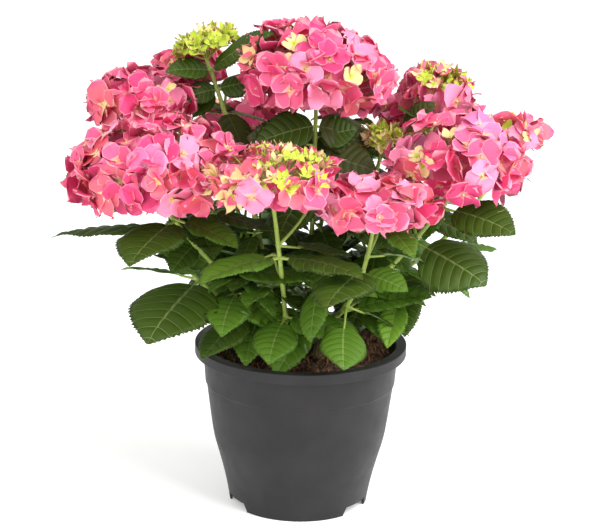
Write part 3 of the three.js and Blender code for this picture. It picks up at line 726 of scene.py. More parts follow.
def crumbly(x, y, height):
    """The compost's height with crumbs: three random fields of falling length and height."""
    spot = np.stack([x, y], -1)
    coarse, middling, fine = (waves(spot, lengths, seed) for seed, lengths in CRUMB_WAVES)
    return compost_height(x, y) + height * (0.9 * coarse + 0.7 * middling + 0.5 * fine)


def inner_wall(z):
    """Radius of the pot's inside at a height, above its step."""
    step, step_height = POT["step"]
    proud = step + POT["step_depth"] - POT["skin"]
    top = POT_BOX[1].z / MM
    return proud + (POT["neck"] - POT["skin"] - proud) * (z - step_height) / (top - step_height)


def compost_bed(wall, height):
    """A plug with a crumbly top: r from 0 to the wall, height from crumbly(x, y), then the sides
    straight down to the pot's floor."""
    angle = TURN * np.arange(200) / 200
    reach = wall * np.r_[np.linspace(0, 1, 90)[1:][::-1], 0.004]
    top = lathe(reach[:, None], 0.0, angle)
    top[..., 2] = crumbly(top[..., 0], top[..., 1], height)
    floor, inset = POT["skin"] + BED_GAP, POT["skin"] + COMPOST["side_gap"]
    boss = POT["boss"] - POT["skin"] - COMPOST["side_gap"]
    heights = (POT["floor"] + floor, COMPOST["side_ring"], POT["belly"][1], POT["step"][1])
    heights = np.array(heights)
    radii = np.r_[0.2, boss, boss, wall_radius(heights) - inset]
    heights = np.r_[floor, floor, heights[0], heights]
    return shell(np.concatenate([lathe(radii[:, None], heights[:, None], angle), top]))


def scatter(number, reach, rng):
    """Distances reach sqrt(u), which spread spots evenly over a disc but for its very middle."""
    return reach * np.sqrt(rng.uniform(0.01, 1, number))


def compost_lumps(number, wall, height, rng):
    """Low balls c + s (sin a cos b, sin a sin b, cos a), each with its own dents."""
    far, turn = scatter(number, wall * 0.97, rng), rng.uniform(0, TURN, number)
    size = 0.9 + 2.6 * rng.uniform(0, 1, number) ** 2.5
    ball = globe(np.linspace(0.05, np.pi - 0.05, 6), 7).reshape(-1, 3)[::-1]
    squash = size[:, None] * rng.uniform(0.6, 1.2, (number, 3))
    balls = ball * squash[:, None] * rng.uniform(0.8, 1.15, (number, len(ball), 1))
    spot = polar(far, turn)
    balls[..., :2] += spot[:, None]
    balls[..., 2] += (crumbly(*spot.T, height) + 0.2 * size)[:, None]
    faces = repeat(grid(6, 7, True).reshape(-1, 4), number, len(ball))[:, ::-1]
    slots = np.repeat(rng.choice([0, 1], number, p=[0.75, 0.25]), 5 * 7)
    return balls.reshape(-1, 3), [(faces, slots)]


def compost_fibres(number, wall, height, rng):
    """Thin tubes along p + (s - 1/2) l d + bend s (1 - s) e, laid on the surface."""
    far, (turn, way) = scatter(number, wall * 0.94, rng), rng.uniform(0, TURN, (2, number))
    span = rng.uniform(5, 20, number)[:, None, None]
    s = np.linspace(0, 1, 7)[:, None]
    along = polar(1, way)
    across = np.stack([-along[:, 1], along[:, 0]], -1)
    bow = rng.uniform(-1.4, 1.4, number)[:, None, None] * span
    flat = (polar(far, turn)[:, None] + (s - 0.5) * span * along[:, None]
            + s * (1 - s) * bow * across[:, None])
    flat *= np.minimum(1, 0.97 * wall / np.linalg.norm(flat, axis=-1, keepdims=True))
    rise = crumbly(flat[..., 0], flat[..., 1], height) + rng.uniform(0.2, 1.6, (number, 1))
    paths = np.concatenate([flat, rise[..., None]], -1)
    return tubes(paths, rng.uniform(0.18, 0.5, (number, 1)) * np.ones(len(s)), 4, 2)


def build_compost(settings):
    """The bed, with lumps and fibres lying on it."""
    rng = np.random.default_rng(11)
    height = settings.crumb_height / MM
    wall = inner_wall(COMPOST["level"]) - BED_GAP
    parts = [compost_bed(wall, height),
             compost_lumps(settings.lumps, wall, height, rng),
             compost_fibres(settings.fibres, wall, height, rng)]
    finishes = [moist_peat(settings),
                plain_finish("bark_crumb", settings.bark_crumb, 0.85),
                plain_finish("peat_fibre", settings.fibre, 0.8)]
    return add_piece("compost_bed", join(parts), finishes)


# ---------------------------------------------------------------- leaves as a table


LEAF_KEYS = ("on", "at", "turn", "lift", "long", "neck", "wide", "roll", "fold", "tone")


def ruled_leaves(name):
    """Opposite pairs up a shoot, each a quarter turn on from the last, largest in the middle."""
    pairs, first, last, turn, leaf = SHOOTS[name][3:]
    low, high = LEAF["low_size"], LEAF["high_size"]
    rows = []
    for pair in range(pairs):
        part = pair / (pairs - 1)
        size = mix(low, 1, 2 * part) if part < 0.5 else mix(1, high, 2 * part - 1)
        same = {"on": name, "at": mix(first, last, part), "long": leaf * size, "free": True,
                "lift": mix(LEAF["low"], LEAF["high"], part), "neck": LEAF["neck"]}
        rows += [{**same, "turn": turn + 90 * pair + side} for side in (0, 180)]
    return rows


def apart(row, outer):
    """How far apart two leaves of a shoot are, in degrees of heading."""
    turned = abs((row["turn"] - outer["turn"] + 180) % 360 - 180)
    return NEARNESS * abs(row["at"] - outer["at"]) + turned


def leaf_table():
    """Every leaf on the shoots: the ruled ones, where each outer leaf takes the nearest's place."""
    table = []
    for name in SHOOTS:
        rows = ruled_leaves(name)
        for outer in (dict(zip(LEAF_KEYS, row)) for row in OUTER_LEAVES if row[0] == name):
            free = [row for row in rows if row["free"]]
            min(free, key=lambda row: apart(row, outer)).update(outer, free=False)
        table += rows
    return table


def vary(table, rng):
    """Gives each ruled leaf its own small turn, lift, size, width, roll and tone."""
    for row in table:
        turn, lift, size, wide, roll = rng.normal(size=5)
        if row["free"]:
            row["turn"] += SPREAD["turn"] * turn
            row["lift"] += SPREAD["lift"] * lift - LEAF["droop"]
            row["long"] *= 1 + SPREAD["long"] * np.clip(size, -2, 2)
            row["wide"] = LEAF["wide"] + SPREAD["wide"] * np.clip(wide, -2, 2)
            row["roll"] = SPREAD["roll"] * roll
            row["fold"] = rng.uniform(*SPREAD["fold"])
            fresh = SPREAD["fresh_high" if row["at"] > SPREAD["high"] else "fresh_low"]
            chances = (1 - SPREAD["mid"] - fresh, SPREAD["mid"], fresh)
            row["tone"] = rng.choice(("deep", "mid", "fresh"), p=chances)
    return table


def column(rows, key):
    """One column of a table of leaves as an array."""
    return np.array([row[key] for row in rows], float)


def leaf_axes(turn, lift, roll):
    """Ahead, side and up of each leaf: up = ahead x side, and both turned by the roll."""
    ahead = heading(turn, lift)
    side = heading(turn + 90, np.zeros_like(turn))
    up = np.cross(ahead, side)
    r = np.radians(roll)[:, None]
    return ahead, side * np.cos(r) + up * np.sin(r), up * np.cos(r) - side * np.sin(r)


def half_width(x):
    """sin(pi x^0.84)^(0.5 + 0.28 x) / 2: a full, round base, drawn to a point at the tip."""
    x = np.clip(x, 0, 1)
    return 0.5 * np.sin(np.pi * x**0.84).clip(0, 1) ** (0.5 + 0.28 * x)


PANEL = (0.1, 0.3, 0.465, 0.535, 0.7, 0.9)  # rows from one side vein's panel to the next
TWIG_PANEL = (0.1, 0.465, 0.535, 0.9)
RIB = 0.011  # how far the midrib stands out underneath, of the leaf's length
VEIN_SIDE = 0.465  # the row of a panel where its side vein starts
UPPER = np.array([-1, -0.84, -0.56, -0.24, -0.035, 0.035, 0.24, 0.56, 0.84, 1])
LOWER = np.array([-1, -0.5, -0.075, 0.075, 0.5, 1])


def blade_points(q, rows, veins, settings, shape, jags):
    """Points (n, rows, columns, 3) of the blades in their own axes, as shares of their length.

    A side vein that leaves the midrib at s reaches x = s + f (1 - s) s^0.35 |q|^1.35, and the
    blade is y = q w half_width(x_margin) wide there. Rows on the margin stand out as teeth by 1
    and in by 0.45 of the tooth by turns. The height is a fold |y|, a dip towards the margin, a
    bulge between the veins, a wave along the margin, and a sag x² with a curl x^6."""
    offset = (rows * veins) % 1 - 0.5
    near = (np.abs(offset) < 0.06) & (rows > 0.01) & (rows < 0.99)
    aq = np.abs(q)
    s = rows[:, None] - (near * offset / veins)[:, None] * 0.6 * aq
    sweep = settings.forward * (1 - s) * s**0.35
    x = s + sweep * aq**1.35
    half = half_width(s + sweep)
    margin = (aq == 1).astype(float)
    teeth = np.where(np.arange(len(rows)) % 2 == 0, 1.0, -0.45)[:, None] * jags
    teeth = teeth * np.sin(np.pi * np.clip(s, 0, 1)) ** 0.5 * margin * settings.tooth
    y = (shape["wide"] * half) * q + np.sign(q) * teeth
    x = np.broadcast_to(x + teeth * 0.7, y.shape)
    across = np.sin(np.pi * np.clip(0.06 + 0.94 * aq, 0, 1)) ** 0.6
    bulge = np.abs(np.sin(np.pi * offset))[:, None] ** 0.8 * across * np.minimum(1, 6 * half)
    wave = np.sin(TURN * shape["wave_count"] * x + shape["phase"] + 1.3 * np.sign(q))
    wave = wave * aq**2.2 * np.sin(np.pi * np.clip(x, 0, 1))
    z = (shape["fold"] * np.abs(y) - shape["dip"] * y**2 + settings.quilting * bulge
         + shape["wave"] * wave - shape["sag"] * x**2 - shape["curl"] * np.clip(x, 0, 1) ** 6
         + shape["twist"] * x * y)
    return np.stack([x, y + shape["bow"] * x**2, z], -1)


def blade_faces(rows, panel, tones):
    """Faces of closed blades with their slots: the upper sheet, the lower one and the two ends. The
    veins are the columns beside the midrib and one row of each side vein's panel."""
    number, kinds = len(tones), len(TONES)
    index = np.arange(rows * len(UPPER)).reshape(rows, -1)
    inner = index.size + np.arange(rows * (len(LOWER) - 2)).reshape(rows, -1)
    each = index.size + inner.size
    under = np.concatenate([index[:, :1], inner, index[:, -1:]], 1)
    top = grid(rows, len(UPPER))[..., ::-1]
    low = np.stack([under[:-1, :-1], under[:-1, 1:], under[1:, 1:], under[1:, :-1]], -1)
    ends = np.stack([np.r_[index[0], inner[0][::-1]][::-1], np.r_[index[-1], inner[-1][::-1]]])
    on_side_vein = np.arange(rows - 1) % len(panel) == panel.index(VEIN_SIDE) + 1
    ribbed = on_side_vein[:, None] | (np.arange(len(UPPER) - 1) == len(UPPER) // 2 - 1)
    tones = tones[:, None, None]
    top_slots = np.where(ribbed[None], kinds + tones, tones)
    low_slots = 2 * kinds + (np.arange(len(LOWER) - 1) == len(LOWER) // 2 - 1)
    low_slots = np.broadcast_to(low_slots, (number, *low.shape[:2]))
    return [
        (repeat(top.reshape(-1, 4), number, each), top_slots.reshape(-1)),
        (repeat(low.reshape(-1, 4), number, each), low_slots.reshape(-1)),
        (repeat(ends, number, each), 2 * kinds),
    ]


def leaf_blades(stem, axes, sizes, tones, settings, rng, veins, panel):
    """Closed blades: an upper sheet, a lower sheet a little below it that shares its margin, and a
    small face across each end."""
    number = len(stem)
    rows = np.r_[0.004, ((np.arange(veins)[:, None] + np.array(panel)) / veins).ravel(), 0.996]
    shape = {
        "wide": sizes["wide"],
        "fold": sizes["fold"],
        "dip": rng.uniform(0.1, 0.9, number),
        "sag": sizes["sag"],
        "curl": rng.uniform(0.0, 0.07, number),
        "twist": rng.uniform(-0.2, 0.2, number),
        "bow": rng.uniform(-0.06, 0.06, number),
        "wave": rng.uniform(0.006, 0.026, number),
        "wave_count": rng.uniform(1.6, 3.2, number),
        "phase": rng.uniform(0, TURN, number),
    }
    shape = {key: value[:, None, None] for key, value in shape.items()}
    jags = rng.uniform(0.6, 1.3, (len(rows), 1))
    ahead, side, up = (a[:, None, None] for a in axes)
    long = sizes["long"][:, None, None, None]
    foot = stem[:, None, None] + ahead * sizes["neck"][:, None, None, None]

    def place(local):
        x, y, z = (local[..., axis, None] for axis in range(3))
        return foot + long * (ahead * x + side * y + up * z)

    upper = place(blade_points(UPPER, rows, veins, settings, shape, jags))
    below = blade_points(LOWER[1:-1], rows, veins, settings, shape, jags)
    thick = settings.thickness / MM / sizes["long"][:, None, None]
    below[..., 2] -= thick + RIB * np.array([0, 1, 1, 0]) * (1 - 0.8 * rows[:, None])
    lower = place(below)
    points = np.concatenate([upper.reshape(number, -1, 3), lower.reshape(number, -1, 3)], 1)
    return points.reshape(-1, 3), blade_faces(len(rows), panel, tones)


def leaf_stalks(stem, axes, sizes):
    """Thin tubes from the stem to under the midrib, arched a little and thick at the node: their
    radius is (2 - 0.7 t + 1.3 e^(-t / 0.08)) sqrt(length / 90) for t from 0 to 1 along them."""
    ahead, _, up = axes
    neck, long = sizes["neck"][:, None], sizes["long"][:, None]
    under = 0.9 + sizes["sag"][:, None] * long * 0.0036
    end = stem + ahead * (neck + 0.06 * long) - up * under
    middle = stem + ahead * neck * 0.5 - up * 0.04 * neck
    t = np.linspace(0, 1, 6)[:, None]
    paths = arc(stem[:, None], middle[:, None], end[:, None], t)
    radii = (2.0 - 0.7 * t[:, 0] + 1.3 * np.exp(-t[:, 0] / 0.08)) * np.sqrt(long / 90)
    return tubes(paths, radii, 7)


def dress(rows, settings, rng, veins, panel):
    """Blades and stalks of a list of leaves whose stem points are known."""
    stem = np.array([row["stem"] for row in rows], float)
    axes = leaf_axes(column(rows, "turn"), column(rows, "lift"), column(rows, "roll"))
    sizes = {key: column(rows, key) for key in ("long", "neck", "wide", "fold")}
    own_sag = rng.uniform(0.1, 0.26, len(rows))
    sizes["sag"] = np.where(column(rows, "free") > 0, own_sag, LEAF["sag"])
    tones = np.array([TONES.index(row["tone"]) for row in rows])
    blades = leaf_blades(stem, axes, sizes, tones, settings, rng, veins, panel)
    return blades, leaf_stalks(stem, axes, sizes)


def small_leaves(tip, turn, pairs, lift, size, rng):
    """Opposite pairs at the end of a twig, each smaller than the last and a quarter turn on."""
    chances = SHADE if tip[2] > TWIG["low"] else SUN
    rows = []
    for pair in range(pairs):
        for side in (0, 180):
            rows.append({
                "stem": tip, "turn": turn + 90 * pair + side,
                "lift": rng.uniform(*lift) + SMALL["raised"] * pair,
                "long": rng.uniform(*size) * (1 - SMALL["smaller"] * pair),
                "neck": rng.uniform(*SMALL["neck"]), "wide": rng.uniform(*SMALL["wide"]),
                "roll": rng.normal() * SMALL["roll"], "fold": rng.uniform(*SMALL["fold"]),
                "free": True,
                "tone": rng.choice(("deep", "mid", "fresh"), p=chances),
            })
    return rows


def twig(start, lean, out, up, rise):
    """A curve that leans out for one length, then rises for another. Returns its points and tip."""
    bend = start + lean * out
    tip = bend + unit(lean + np.array([0, 0, rise])) * up
    return bezier(start, bend, tip, np.linspace(0, 1, 6))[0], tip


def axil_twig(row, settings, rng):
    """The branching rule: a leaf's axil may bear a twig that leans out under it and turns up, with
    one or two pairs of leaves at its end. Twigs low in the crown are longer and bear larger leaves.
    Returns the twig's points and its leaves, or nothing where there is none."""
    kind = "low" if row["stem"][2] < TWIG["low"] else "high"
    inner = np.hypot(*row["stem"][:2]) < TWIG["inner"]
    part = TWIG["low_part" if kind == "low" else "inner_part" if inner else "outer_part"]
    barred = row["at"] > TWIG["last"] or not (row["free"] or row["at"] < TWIG["shaded"])
    if rng.uniform() > settings.twig_chance * part or barred:
        return None
    span = 0.6 * rng.uniform(*TWIG_SPANS[kind])
    lean = heading(row["turn"] + rng.normal() * 14, 40.0)
    path, tip = twig(row["stem"], lean, span, span, 0.7)
    turn, pairs = row["turn"] + 90 + rng.normal() * 12, rng.integers(1, 3)
    return path, small_leaves(tip, turn, pairs, *TWIG_LEAVES[kind], rng)


def fork_twig(fork, side, rng):
    """A twig on one side of a cane's fork, with two pairs of leaves."""
    out = np.degrees(np.arctan2(fork[1], fork[0]))
    lean = heading(out + side * rng.uniform(50, 80), 30.0)
    long = TWIG["fork"]
    path, tip = twig(np.array(fork, float), lean, 0.5 * long, rng.uniform(0.5, 0.9) * long, 0.9)
    return path, small_leaves(tip, rng.uniform(0, 360), 2, *TWIG_LEAVES["fork"], rng)


def grow_twigs(table, settings, rng):
    """Twigs in the axils and on either side of each cane's fork, and a tuft of leaves at the tip of
    each flowerless shoot. Returns the twigs' paths and the rows of their leaves."""
    twigs = [axil_twig(row, settings, rng) for row in table]
    twigs += [fork_twig(fork, side, rng) for _, fork in CANES.values() for side in (-1, 1)]
    paths, leaves = zip(*(each for each in twigs if each))
    rows = [row for each in leaves for row in each]
    for name in FLOWERLESS:
        tip = on_shoot(name, [1.0])[0][0]
        rows += small_leaves(tip, rng.uniform(0, 360), 2, *TWIG_LEAVES["tuft"], rng)
    return np.array(paths), rows


def plant_leaves():
    """The table of leaves with their places on the stems, the same for every piece."""
    table = vary(leaf_table(), np.random.default_rng(5))
    for row in table:
        row["stem"] = on_shoot(row["on"], [row["at"]])[0][0]
    return table


def leaf_finishes(settings):
    """One plain finish for each tone, for the veins of each tone, and two for the undersides."""
    tones = (settings.deep_green, settings.mid_green, settings.fresh_green, settings.pale_green,
             settings.shaded_olive)
    gloss = {"Specular_IOR_Level": 0.22}
    blades, veins = [], []
    for name, tone in zip(TONES, tones):
        paler = mix(np.array(tone), np.array(settings.vein), VEINING[name])
        blades.append(plain_finish(f"leaf_{name}", tuple(tone), 0.48, **gloss))
        veins.append(plain_finish(f"vein_{name}", tuple(paler), 0.5))
    under = plain_finish("leaf_underside", settings.underside, 0.7)
    ribs = plain_finish("leaf_rib", tuple(mix(np.array(settings.underside), 1, 0.12)), 0.6)
    return blades + veins + [under, ribs]


def build_leaves(settings, stem_settings):
    """All blades, in three pieces, and all leaf stalks and twigs in a fourth."""
    table = plant_leaves()
    twig_paths, twig_rows = grow_twigs(table, settings, np.random.default_rng(23))
    front = [row for row in table if not row["free"] or row["stem"][1] < 0]
    rear = [row for row in table if row["free"] and row["stem"][1] >= 0]
    finishes = leaf_finishes(settings)
    pieces, stalks = [], []
    for name, rows, seed, veins, panel in (
        ("leaves_outer", front, 31, settings.veins, PANEL),
        ("leaves_inner", rear, 32, settings.veins, PANEL),
        ("leaves_twigs", twig_rows, 33, TWIG["veins"], TWIG_PANEL),
    ):
        blades, necks = dress(rows, settings, np.random.default_rng(seed), veins, panel)
        pieces.append(add_piece(name, blades, finishes))
        stalks.append(necks)
    radii = np.linspace(1.9, 1.3, twig_paths.shape[1]) * np.ones((len(twig_paths), 1))
    stalks.append(tubes(twig_paths, radii, 7))
    finish = plain_finish("leaf_stalk", stem_settings.green_stem, 0.5)
    return pieces, add_piece("leaf_stalks", join(stalks), [finish])


# ---------------------------------------------------------------- canes and shoots


def relief(paths, angle, ridge, seed):
    """1 + ridge (sin(5a + drift) + fine random field), for bark that runs along the stem."""
    number, steps, _ = paths.shape
    rng = np.random.default_rng(seed)
    drift = rng.uniform(0, TURN, (number, 1, 1)) + np.linspace(0, 3, steps)[None, :, None]
    around = np.stack([np.cos(angle) * 9, np.sin(angle) * 9], -1)
    place = np.concatenate([np.broadcast_to(around, (number, steps, *around.shape)),
                            0.4 * paths[:, :, None, 2:] * np.ones((1, 1, len(angle), 1))], -1)
    return 1 + ridge * (0.5 * np.sin(5 * angle + drift) + 0.6 * waves(place, (4, 12), seed))


def build_canes(settings):
    """Bark-covered tubes from the compost to the fork: r = foot to top + flare e^(-t/length),
    a swelling at each old node, times the relief."""
    t = np.linspace(0, 1, 34)
    paths = []
    for foot, fork in CANES.values():
        base = np.array([*foot, COMPOST["level"] - CANE["sunk"]])
        start = np.array([*foot, COMPOST["level"]])
        middle = mix(start, np.array(fork, float), 0.5)
        middle = middle + np.append(np.array(foot) * CANE["lean"], CANE["rise"])
        paths.append(bezier(base, middle, fork, t)[0])
    paths = np.array(paths)
    sides = 20
    angle = TURN * np.arange(sides) / sides
    radius = mix(CANE["foot"], CANE["top"], t) + CANE["flare"] * np.exp(-t / CANE["flare_length"])
    swell = sum(np.exp(-(((t - node) / CANE["node_length"]) ** 2)) for node in CANE["nodes"])
    radius = radius * (1 + CANE["node_part"] * settings.node_swelling * swell)
    radii = radius[None, :, None] * relief(paths, angle, settings.ridge * CANE["ridge_part"], 3)
    radii[:, -1] *= CANE["narrowed"]
    return add_piece("canes", tubes(paths, radii, sides), [cane_bark(settings)])


def build_shoots(settings):
    """Green tubes from each fork to the tip: r = foot to top, with a swelling at each leaf pair."""
    t = np.linspace(0, 1, 64)
    sides = 14
    angle = TURN * np.arange(sides) / sides
    paths, radii = [], []
    for name, row in SHOOTS.items():
        paths.append(on_shoot(name, t)[0])
        nodes = np.linspace(row[4], row[5], row[3])
        swell = np.exp(-(((t[:, None] - nodes) / SHOOT["node_length"]) ** 2)).sum(1)
        radii.append(mix(SHOOT["foot"], SHOOT["top"], t) * (1 + settings.node_swelling * swell))
    paths = np.array(paths)
    radii = np.array(radii)[..., None] * relief(paths, angle, settings.ridge, 4)
    return add_piece("green_shoots", tubes(paths, radii, sides), [green_bark(settings)])


# ---------------------------------------------------------------- blooms


def head_middle(name):
    """The middle of a head's widest ring, over the tip of its shoot."""
    return np.array(SHOOTS[name][2], float) + [0, 0, HEADS[name][2] * UNDERSIDE]


def head_point(name, tilt, turn):
    """Middle + (lean max(0, cos a) + w sin a cos b, w sin a sin b, h cos a) on a head's dome, with
    depth for height below the widest ring, and the way out of the dome there."""
    wide, high, deep, lean = HEADS[name]
    tall = np.where(tilt < np.pi / 2, high, deep)
    flat = np.sin(tilt)
    point = head_middle(name) + np.stack([
        lean * np.maximum(0, np.cos(tilt)) + wide * flat * np.cos(turn),
        wide * flat * np.sin(turn),
        tall * np.cos(tilt),
    ], -1)
    out = unit(np.stack([flat * np.cos(turn) / wide, flat * np.sin(turn) / wide,
                         np.cos(tilt) / tall], -1))
    return point, out


def inside_head(name, points):
    """True where (x / w)² + (y / w)² + (z / h)² is under 0.8 in a head's own middle."""
    wide, high, deep, _ = HEADS[name]
    offset = points - head_middle(name)
    tall = np.where(offset[..., 2] > 0, high, deep)
    return (offset[..., :2] ** 2).sum(-1) / wide**2 + (offset[..., 2] / tall) ** 2 < 0.8


SEPAL_ROWS = np.array([0.05, 0.2, 0.5, 0.8, 0.94, 1.0])
SEPAL_COLUMNS = np.array([-1, -0.92, 0, 0.92, 1])
SEPAL_WIDEST = 1.36  # power that puts the widest place of a sepal at three fifths of its length


def sepal(width, point, rng):
    """One sepal as a grid: (u, v w(u), lift), w(u) = width sin(pi u^c)^0.6 (1 - point u^4), and
    lift = trough |v| w + pin v w + ruffle sin(5 v + a) u² + crumple sin(7 u + b) v²."""
    u, v = SEPAL_ROWS[:, None], SEPAL_COLUMNS[None]
    half = width * (np.sin(np.pi * u**SEPAL_WIDEST).clip(0, 1) ** 0.6) * (1 - point * u**4) + 0.02
    a, b = rng.uniform(0, TURN, 2)
    x = u - 0.05 * u * v * v
    y = v * half
    lift = rng.uniform(-0.05, 0.3) * np.abs(y) + rng.uniform(0.0, 0.26) * y
    lift = lift + rng.uniform(0.05, 0.22) * np.sin(5 * v + a) * u**2
    lift = lift + rng.uniform(0.03, 0.13) * np.sin(7 * u + b) * v**2
    return np.stack([x, y, lift], -1)


BASE, BLADE, EDGE, BUD, OUTER_BLADE = range(5)  # zones of a floret


def floret_kinds(number, width, point, cups, rng):
    """Floret shapes of radius 1: four sepals a quarter turn apart round a small bud, each sepal
    lifted by cup u², for cups between two limits. Returns the points (number, p, 3), the faces of
    one, and the zone of each face: base, blade, edge, bud, outer blade."""
    shapes = []
    for base_cup in np.linspace(*cups, number):
        sepals = []
        for k in range(4):
            petal = sepal(width * rng.uniform(0.88, 1.12), point * rng.uniform(0.6, 1.4), rng)
            cup = base_cup + rng.uniform(-0.25, 0.2)
            petal[..., 2] += cup * petal[..., 0] ** 2 + 0.04 * (k % 2)
            petal = petal * [rng.uniform(0.86, 1.06), 1, 1]
            a = TURN * k / 4 + rng.normal() * 0.1
            spin = np.array([[np.cos(a), -np.sin(a), 0], [np.sin(a), np.cos(a), 0], [0, 0, 1]])
            sepals.append(petal.reshape(-1, 3) @ spin.T)
        bud = 0.07 * (globe((1.75, 1.0, 0.25), 6) + [0, 0, 0.55])
        shapes.append(np.concatenate([*sepals, bud.reshape(-1, 3)]))
    rows, columns = len(SEPAL_ROWS), len(SEPAL_COLUMNS)
    one = grid(rows, columns)[..., ::-1]
    zone = np.full(one.shape[:2], BLADE)
    zone[-2] = OUTER_BLADE
    zone[:, [0, -1]] = zone[-1] = EDGE
    zone[0, 1:-1] = BASE
    faces = repeat(one.reshape(-1, 4), 4, rows * columns)
    start = 4 * rows * columns
    ball = grid(3, 6, True).reshape(-1, 4) + start
    cap = np.array([[12, 13, 14, 15], [15, 16, 17, 12]]) + start
    faces = np.concatenate([faces, ball, cap])
    zones = np.r_[np.tile(zone.ravel(), 4), np.full(len(ball) + len(cap), BUD)]
    return np.array(shapes), faces, zones


def place_florets(shapes, chosen, middle, out, radius, spin):
    """Turns each chosen shape so that its top faces out and spins it: m + r (x t + y b + z n)."""
    least = np.eye(3)[np.argmin(np.abs(out), axis=1)]
    across = unit(np.cross(out, least))
    along = np.cross(out, across)
    c, s = np.cos(spin)[:, None], np.sin(spin)[:, None]
    axes = np.stack([across * c + along * s, along * c - across * s, out], 1)
    return middle[:, None] + radius[:, None, None] * np.einsum("npk,nkj->npj", shapes[chosen], axes)


def pull_in(name, points, out, limit):
    """Shifts each floret back along the dome's way out there by (max |q| - limit) d, where q is a
    point's place over the dome's half sizes and d is the floret's distance from its middle. Florets
    under the widest ring may hang out further."""
    wide, high, deep, lean = HEADS[name]
    offset = points - head_middle(name)
    distance = np.linalg.norm(offset.mean(axis=1), axis=-1)
    leaning = lean * np.clip(offset[..., 2] / high, 0, 1)
    tall = np.where(offset[..., 2] > 0, high, deep)
    aside = np.hypot(offset[..., 0] - leaning, offset[..., 1])
    reach = np.hypot(aside / wide, offset[..., 2] / tall)
    hanging = SLACK * np.clip(-offset[..., 2].mean(axis=1) / deep, 0, 1)
    excess = np.clip(reach.max(axis=1) - limit - hanging, 0, None)
    return -out * (excess * distance)[:, None]


# Colours of each kind of floret on its base, blade, edge, bud and outer blade.
FLORET_COLOURS = {
    "rose": ("rose_edge", "rose", "rose_edge", "lime", "pink"),
    "pink": ("heart", "pink", "pink_edge", "cream", "pink_edge"),
    "blush": ("heart", "blush", "blush_edge", "lime", "blush"),
    "coral": ("cream", "coral", "coral_edge", "cream", "pink"),
    "orchid": ("orchid_edge", "orchid", "orchid_edge", "cream", "blush"),
    "cream": ("lime", "cream", "coral_edge", "lime", "cream"),
    "lime": ("lime", "lime", "cream", "cream", "lime"),
}
PINKS = KINDS[:5]
BLOOM_COLOURS = (*PINKS, *(f"{kind}_edge" for kind in PINKS), "cream", "lime", "stalk", "heart")
CREAM, LIME, FLORET_STALK = (BLOOM_COLOURS.index(name) for name in ("cream", "lime", "stalk"))
FLORET_SLOTS = np.array([[BLOOM_COLOURS.index(name) for name in row]
                         for row in FLORET_COLOURS.values()])


def floret_finishes(settings):
    """Plain finishes of the florets, one for each colour. An edge is a pink mixed towards pale."""
    soft = {"Subsurface_Weight": 0.1, "Subsurface_Scale": 0.003, "Specular_IOR_Level": 0.3}
    finishes = []
    for name in BLOOM_COLOURS:
        colour = np.array(getattr(settings, name.removesuffix("_edge")))
        if name.endswith("_edge"):
            colour = mix(colour, np.array(settings.edge), 0.28)
        finishes.append(plain_finish(f"floret_{name}", tuple(colour), 0.58, **soft))
    return finishes


def head_florets(name, settings, rng, scale=1.0):
    """Middles, ways out, facings, radii and kinds of one head's florets, spaced by the golden turn
    with arccos(1 - k/n (1 - cos lowest)) for their tilts, and those tilts and turns. Some florets
    lie deeper, between the others, and are more often cream. Their number is fullness times 1.25
    times the dome's 2 pi w (0.6 w + 0.8 h) over a floret's pi r². Small heads have smaller ones."""
    wide, high, _, _ = HEADS[name]
    radius = scale * settings.floret_radius / MM * min(1.0, 0.62 + wide / 190)
    area = TURN * wide * (0.6 * wide + 0.8 * high) * 1.25
    number = int(settings.fullness * area / (np.pi * radius**2))
    k = np.arange(number) + 0.5
    tilt = np.arccos(1 - k / number * (1 - np.cos(LOWEST)))
    tilt = np.clip(tilt + rng.normal(size=number) * 0.5 / np.sqrt(number), 0.02, 2.2)
    turn = k * GOLDEN + rng.normal(size=number) * 0.5 / np.sqrt(number)
    point, out = head_point(name, tilt, turn)
    deep_in = rng.uniform(size=number) < DEEPER["share"]
    sink = LAYER * (np.arange(number) % LAYERS) + rng.uniform(0, 1, number)
    sink = sink + deep_in * rng.uniform(*DEEPER["sunk"], number)
    middle = point - out * sink[:, None]
    sway = rng.choice(SWAYS, (number, 1), p=SWAY_CHANCES)
    face = unit(out + rng.normal(size=out.shape) * sway + [0, 0, 0.05])
    size = radius * rng.uniform(*SIZES, number) * (1 - DEEPER["smaller"] * deep_in)
    chances = np.array(CHANCES.get(name, MOST))
    kinds = rng.choice(len(KINDS), number, p=chances)
    cream = deep_in & (tilt < DEEPER["cream_to"]) & (rng.uniform(size=number) < DEEPER["cream"])
    kinds = np.where(cream, KINDS.index("cream"), kinds)
    size = np.where(cream, DEEPER["cream_size"] * size, size)
    # Florets low on a head often turn rose or coral: painted shade under the head.
    chance = SHADE_BELOW_CHANCES.get(name, SHADE_BELOW["chance"])
    low = (tilt > SHADE_BELOW["from"]) & (rng.uniform(size=number) < chance)
    redder = rng.choice([KINDS.index("rose"), KINDS.index("coral")], number)
    kinds = np.where(low, redder, kinds)
    size = np.where(low, SHADE_BELOW["size"] * size, size)
    return middle, out, face, size, kinds, tilt, turn


# Where a head is still young: its name, the limits of sin t cos b, of sin t sin b and of t for a
# tilt t and a turn b, the size of its florets there, and the chances of coral, cream and lime ones.
YOUNG = (
    ("top", (-1.1, -0.62), (-1.1, 0.5), (0.6, 1.5), 0.6, (0.7, 0.22, 0.08)),
    ("front", (-0.28, 0.85), (-1.1, 1.1), (0.0, 1.35), 0.42, (0.32, 0.18, 0.5)),
    ("front", (-1.1, -0.3), (-1.1, 0.6), (1.15, 2.2), 0.8, (0.56, 0.42, 0.02)),
    ("right_high", (-0.5, 0.9), (-1.1, 0.7), (0.0, 1.25), 0.56, (0.1, 0.2, 0.7)),
    ("far_right", (-1.1, 1.1), (-1.1, 1.1), (0.0, 1.5), 0.95, (0.5, 0.4, 0.1)),
)


